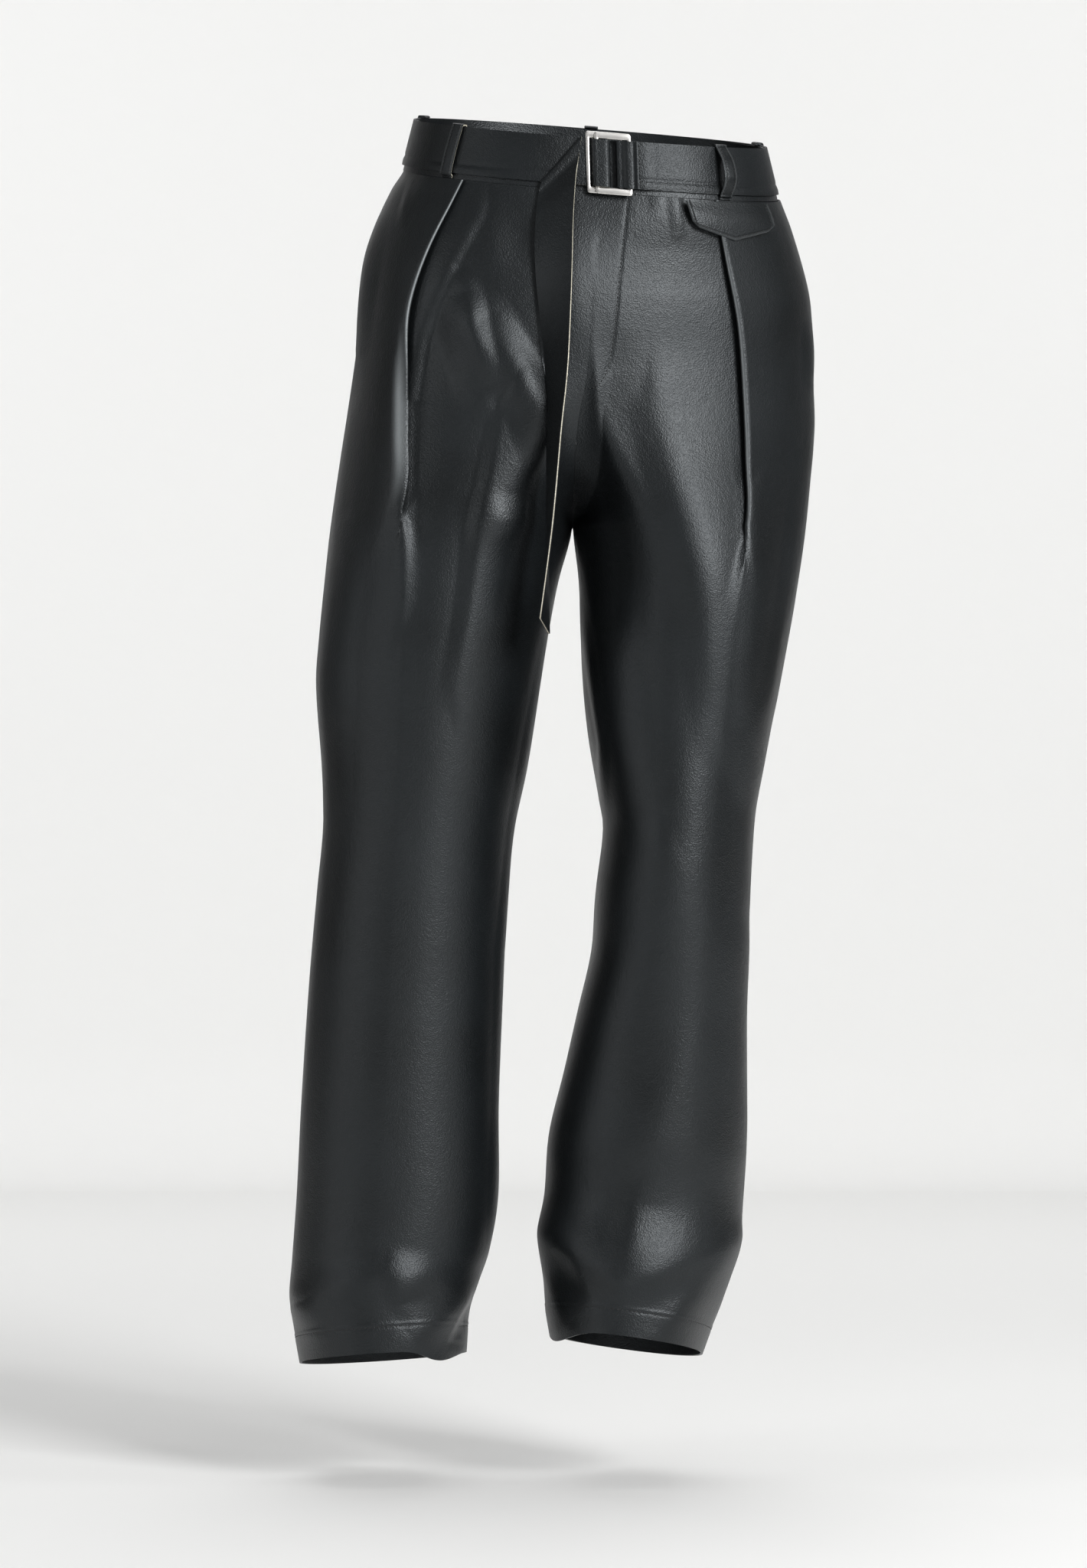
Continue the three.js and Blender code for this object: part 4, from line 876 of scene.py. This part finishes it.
# The coin pocket's flap, pointed, over the top of the left pleat
flap = {"left": 80, "right": 147, "top": -27.5, "corner": -49, "point": -62.5, "pointAt": 0.52, "out": 7.0,
        "thick": 2.2, "slant": 5.5, "rounding": 4}


def flapBottom(a, rounding):
    # the lower edge: two straight lines down to the point, turned up over the corners
    pointed = np.maximum(0, 1 - np.abs(a - flap["pointAt"]) / flap["pointAt"])
    rounded = np.minimum(1, np.minimum(a, 1 - a) / 0.08)
    return lerp(flap["corner"], flap["point"], pointed) + rounding * (1 - rounded)


def flapInward(a, down):
    return np.minimum(np.minimum(a, 1 - a) * 66, (1 - down) * 38)  # millimetres in from the nearest edge


def flapPoints(a, down, bottom, extra=0.0):
    # down the flap at each share a across it: out from the panel's plain section by a constant
    z = lerp(flap["top"], bottom, down).ravel()
    x = (lerp(flap["left"], flap["right"], a) + flap["slant"] * down).ravel()
    section = halfSection(leftLeg, "front", z)
    p, n = onSection(leftLeg, "front", section, distanceAt(leftLeg, section, x)[:, None])
    p, n = p[:, 0], n[:, 0]
    inward = flapInward(a, down)
    relief = 1.0 * (1 - np.exp(-inward / 1.1)) - 0.5 * np.exp(-((inward - 2.4) / 0.55)**2)
    out = (lerp(flap["out"] - 1.2, flap["out"], ease(down, 0, 0.5)) + relief + extra).ravel()
    height = z + lift(leftLeg, p[:, 0], p[:, 1], z)
    return np.concatenate([p + n * out[:, None], height[:, None]], 1).reshape(down.shape + (3,))


wide, down = np.meshgrid(np.linspace(0, 1, 121), np.linspace(0, 1, 73))
flapGrid = flapPoints(wide, down, flapBottom(wide, flap["rounding"]))
# a pale line painted round the flap's rim: a painted highlight
flapPaintedHighlight = 0.1 * np.exp(-((flapInward(wide, down) - 0.8) / 0.7)**2)
flapPiece = makeWall("PocketFlap", flapGrid, flap["thick"], -1, highlightShare=flapPaintedHighlight)
place(flapPiece, beltMaterials, ["pocket_flap"])
print("loops and flap made")

# Stitches: small tapered six-sided rods along a path, joined in one mesh a seam
stitch = {"length": 3.0, "gap": 0.9, "radius": 0.42, "sides": 6}


def sew(name, path, normals, length=None):
    # path [n, 3] on the cloth's outer face and its normals; rods lie half sunk at equal steps
    length = length or stitch["length"]
    steps = np.linalg.norm(np.diff(path, axis=0), axis=1)
    at = np.concatenate([[0], np.cumsum(steps)])
    pitch = length + stitch["gap"]
    starts = np.arange(stitch["gap"], at[-1] - length, pitch)
    point = lambda d: np.stack([np.interp(d, at, path[:, k]) for k in range(3)], -1)
    a, b = point(starts), point(starts + length)
    n = np.stack([np.interp(starts + length / 2, at, normals[:, k]) for k in range(3)], -1)
    t = (b - a) / np.linalg.norm(b - a, axis=1, keepdims=True)
    n = n - t * (n * t).sum(1, keepdims=True)
    n /= np.linalg.norm(n, axis=1, keepdims=True)
    side = np.cross(t, n)
    rod = [(0, 0.35, -0.5), (0.14, 0.9, 0.1), (0.5, 1, 0.35), (0.86, 0.9, 0.1), (1, 0.35, -0.5)]
    angles = (np.arange(stitch["sides"]) * 2 * math.pi / stitch["sides"])[None, :, None]
    spokes = np.cos(angles) * n[:, None] + np.sin(angles) * side[:, None]
    rings = []
    for share, radius, up in rod:  # along the rod, its radius and how far it stands up there
        centre = lerp(a, b, share) + n * up * stitch["radius"]
        rings.append(centre[:, None] + radius * stitch["radius"] * spokes)
    verts = np.stack(rings, 1)  # stitch, ring, angle, xyz
    index = np.arange(len(rod) * stitch["sides"]).reshape(len(rod), -1)
    wrapped = np.concatenate([index, index[:, :1]], 1)
    body = quads(wrapped[:-1, :-1], wrapped[1:, :-1], wrapped[1:, 1:], wrapped[:-1, 1:])
    caps = [index[0][[0, 1, 2, 3]], index[0][[0, 3, 4, 5]], index[-1][[3, 2, 1, 0]], index[-1][[5, 4, 3, 0]]]
    one = np.concatenate([body, np.array(caps)])
    faces = (one[None] + (np.arange(len(starts)) * index.size)[:, None, None]).reshape(-1, 4)
    piece = makeMesh(name, verts.reshape(-1, 3) * toMetres, faces, sharpAt=80)
    return place(piece, [thread])


def onPanel(legName, half, targets, extra=0.0):
    # the outer face at (x, height) targets: heights are turned back through the lift first
    leg = legs[legName]
    x, z = np.array(targets, float).T
    y = along(leg["sections"], half, z)
    flat = z - lift(leg, x, y, z)
    for _ in range(3):
        section = halfSection(leg, half, flat)
        p, n = onSection(leg, half, section, distanceAt(leg, section, x)[:, None])
        flat = z - lift(leg, p[:, 0, 0], p[:, 0, 1], flat)
    section = halfSection(leg, half, flat)
    distance = distanceAt(leg, section, x)[:, None]
    points, n = clothPoints(leg, half, flat, distance, np.zeros_like(distance) + cloth["thick"] / 2 + extra)
    return points[:, 0], np.concatenate([n[:, 0], np.zeros((len(n), 1))], 1)


for name, grid in grids.items():
    # each hem: the row of the panel that lies a hem's depth above its edge, on the outer face
    half, legName = name.split("_")
    normals = gridNormals(grid, False) * outward(legs[legName], half)
    heights = grid[:, grid.shape[1] // 2, 2]
    row = int(np.argmin(np.abs(heights - heights[-1] - cloth["hemDepth"] + 2)))
    path = grid[row] + normals[row] * 0.55
    sew("HemStitch" + pieceName(name), path, normals[row])

flyCurve = smoothPath([(33, -46)] + flyLine + [(-14, -209)], 14)
sew("FlyStitch", *onPanel("left", "front", flyCurve), 2.4)
around = np.concatenate([np.stack([np.full(30, 0.035), np.linspace(0.02, 0.86, 30)], 1),
                         np.stack([np.linspace(0.06, 0.94, 70), np.full(70, 0.945)], 1),
                         np.stack([np.full(30, 0.965), np.linspace(0.86, 0.02, 30)], 1)])
shareAcross, shareDown = around.T
lower = flapBottom(shareAcross, 0)
edge = flapPoints(shareAcross, shareDown, lower, flap["thick"] / 2)
sew("FlapStitch", edge, edge - flapPoints(shareAcross, shareDown, lower, -3), 2.0)
onBelt = slice(24, 68)  # the loops' rows that lie over the belt
for nodeName, grid in loopGrids.items():
    normals = -gridNormals(grid, False)[onBelt]
    for k, column in enumerate((2, 10)):
        face = grid[onBelt, column] + normals[:, column] * loop["thick"] / 2
        sew(f"LoopStitch{pieceName(nodeName[9:])}{k}", face, normals[:, column], 2.0)
rows = np.linspace(18.5, -18.5, 60)
face = onWaist(stitchLine + 1.4, levels["under"] + strap["thick"] / 2, rows)
sew("KeeperStitch", face, face - onWaist(stitchLine + 1.4, 0, rows), 2.2)
print("stitches made")

# Stage, in metres: a pale floor that falls away a little behind, then bends up into the far wall, which
# leaves room to look at the back
stageLook = {"nearY": -9.0, "floorZ": -1.147, "behind": 0.9, "farZ": -1.272, "wallY": 5.7, "bend": 0.25,
             "topZ": 6.0, "halfWidth": 2.5}
t = np.linspace(0, math.pi / 2, 13)
profile = np.concatenate([[(stageLook["nearY"], stageLook["floorZ"])],
                          [(stageLook["behind"], stageLook["floorZ"])],
                          np.stack([stageLook["wallY"] - stageLook["bend"] + stageLook["bend"] * np.sin(t),
                                    stageLook["farZ"] + stageLook["bend"] * (1 - np.cos(t))], 1),
                          [(stageLook["wallY"], stageLook["topZ"])]])
sides = np.array([[-1], [1]]) * stageLook["halfWidth"]
sweep = np.stack(np.broadcast_arrays(sides, profile[:, 0], profile[:, 1]), -1)
index = np.arange(2 * len(profile)).reshape(2, -1)
faces = quads(index[0, :-1], index[1, :-1], index[1, 1:], index[0, 1:])
backdrop = makeMesh("Backdrop", sweep.reshape(-1, 3), faces)
paper = newMaterial("Paper_matt_white")[0]
backdrop.data.materials.append(surface(paper, Base_Color=linear("#eeeeed"), Roughness=0.9))

# Camera: level, about half way down the trousers, with 0.665 mm of them to a pixel of the full frame
camera = {"x": -0.0392, "z": -0.5453, "away": 5.2, "sensor": 36.0, "pixel": 0.665, "height": 2048}
view = bpy.data.cameras.new("Camera")
view.sensor_fit = "VERTICAL"
view.sensor_height = camera["sensor"]
view.lens = camera["sensor"] * camera["away"] / (camera["pixel"] * toMetres * camera["height"])
cameraObject = bpy.data.objects.new("Camera", view)
cameraObject.location = (camera["x"], -camera["away"], camera["z"])
cameraObject.rotation_euler = (math.pi / 2, 0, 0)
bpy.context.scene.collection.objects.link(cameraObject)
bpy.context.scene.camera = cameraObject

# Lights: soft boxes, each with its place, size, power and the point that it faces
lights = {
    "keyRight": ((2.4, -3.6, 1.2), (1.6, 2.0), 222, (0, 0, -0.3)),
    "fillLeft": ((-3.6, -2.6, 0.4), (1.2, 2.4), 23, (0, 0, -0.5)),
    "frontTop": ((0.9, -4.6, 2.6), (4.2, 1.0), 20, (0, 0, -0.6)),
    "rimLeft": ((-3.2, -0.6, 0.1), (0.5, 2.6), 9, (0, 0, -0.4)),
    "rimRight": ((3.2, -0.8, 1.0), (0.5, 2.0), 13, (0, 0, -0.6)),
    "overhead": ((0.0, 1.6, 3.4), (3.0, 5.0), 108, (0, 1.6, -1)),
    "wallRight": ((2.9, 3.5, 1.2), (1.0, 2.4), 29, (0.2, 5.7, -0.2)),
    "wallLeft": ((-2.9, 3.5, 1.2), (1.0, 2.4), 34, (-0.2, 5.7, -0.2)),
}
for lightName, (where, size, power, target) in lights.items():
    data = bpy.data.lights.new(lightName, "AREA")
    data.shape, data.size, data.size_y, data.energy = "RECTANGLE", size[0], size[1], power
    lamp = bpy.data.objects.new(lightName, data)
    lamp.location = where
    aim = np.array(target) - np.array(where)
    tilt = math.atan2(math.hypot(aim[0], aim[1]), -aim[2])
    lamp.rotation_euler = (tilt, 0, math.atan2(aim[0], -aim[1]) + math.pi)
    bpy.context.scene.collection.objects.link(lamp)
world = bpy.data.worlds.new("Studio")
world.use_nodes = True
world.node_tree.nodes["Background"].inputs["Color"].default_value = linear("#f4f4f3")
world.node_tree.nodes["Background"].inputs["Strength"].default_value = 0.11
bpy.context.scene.world = world
bpy.context.scene.view_settings.view_transform = "Standard"
print("stage, camera and lights made")
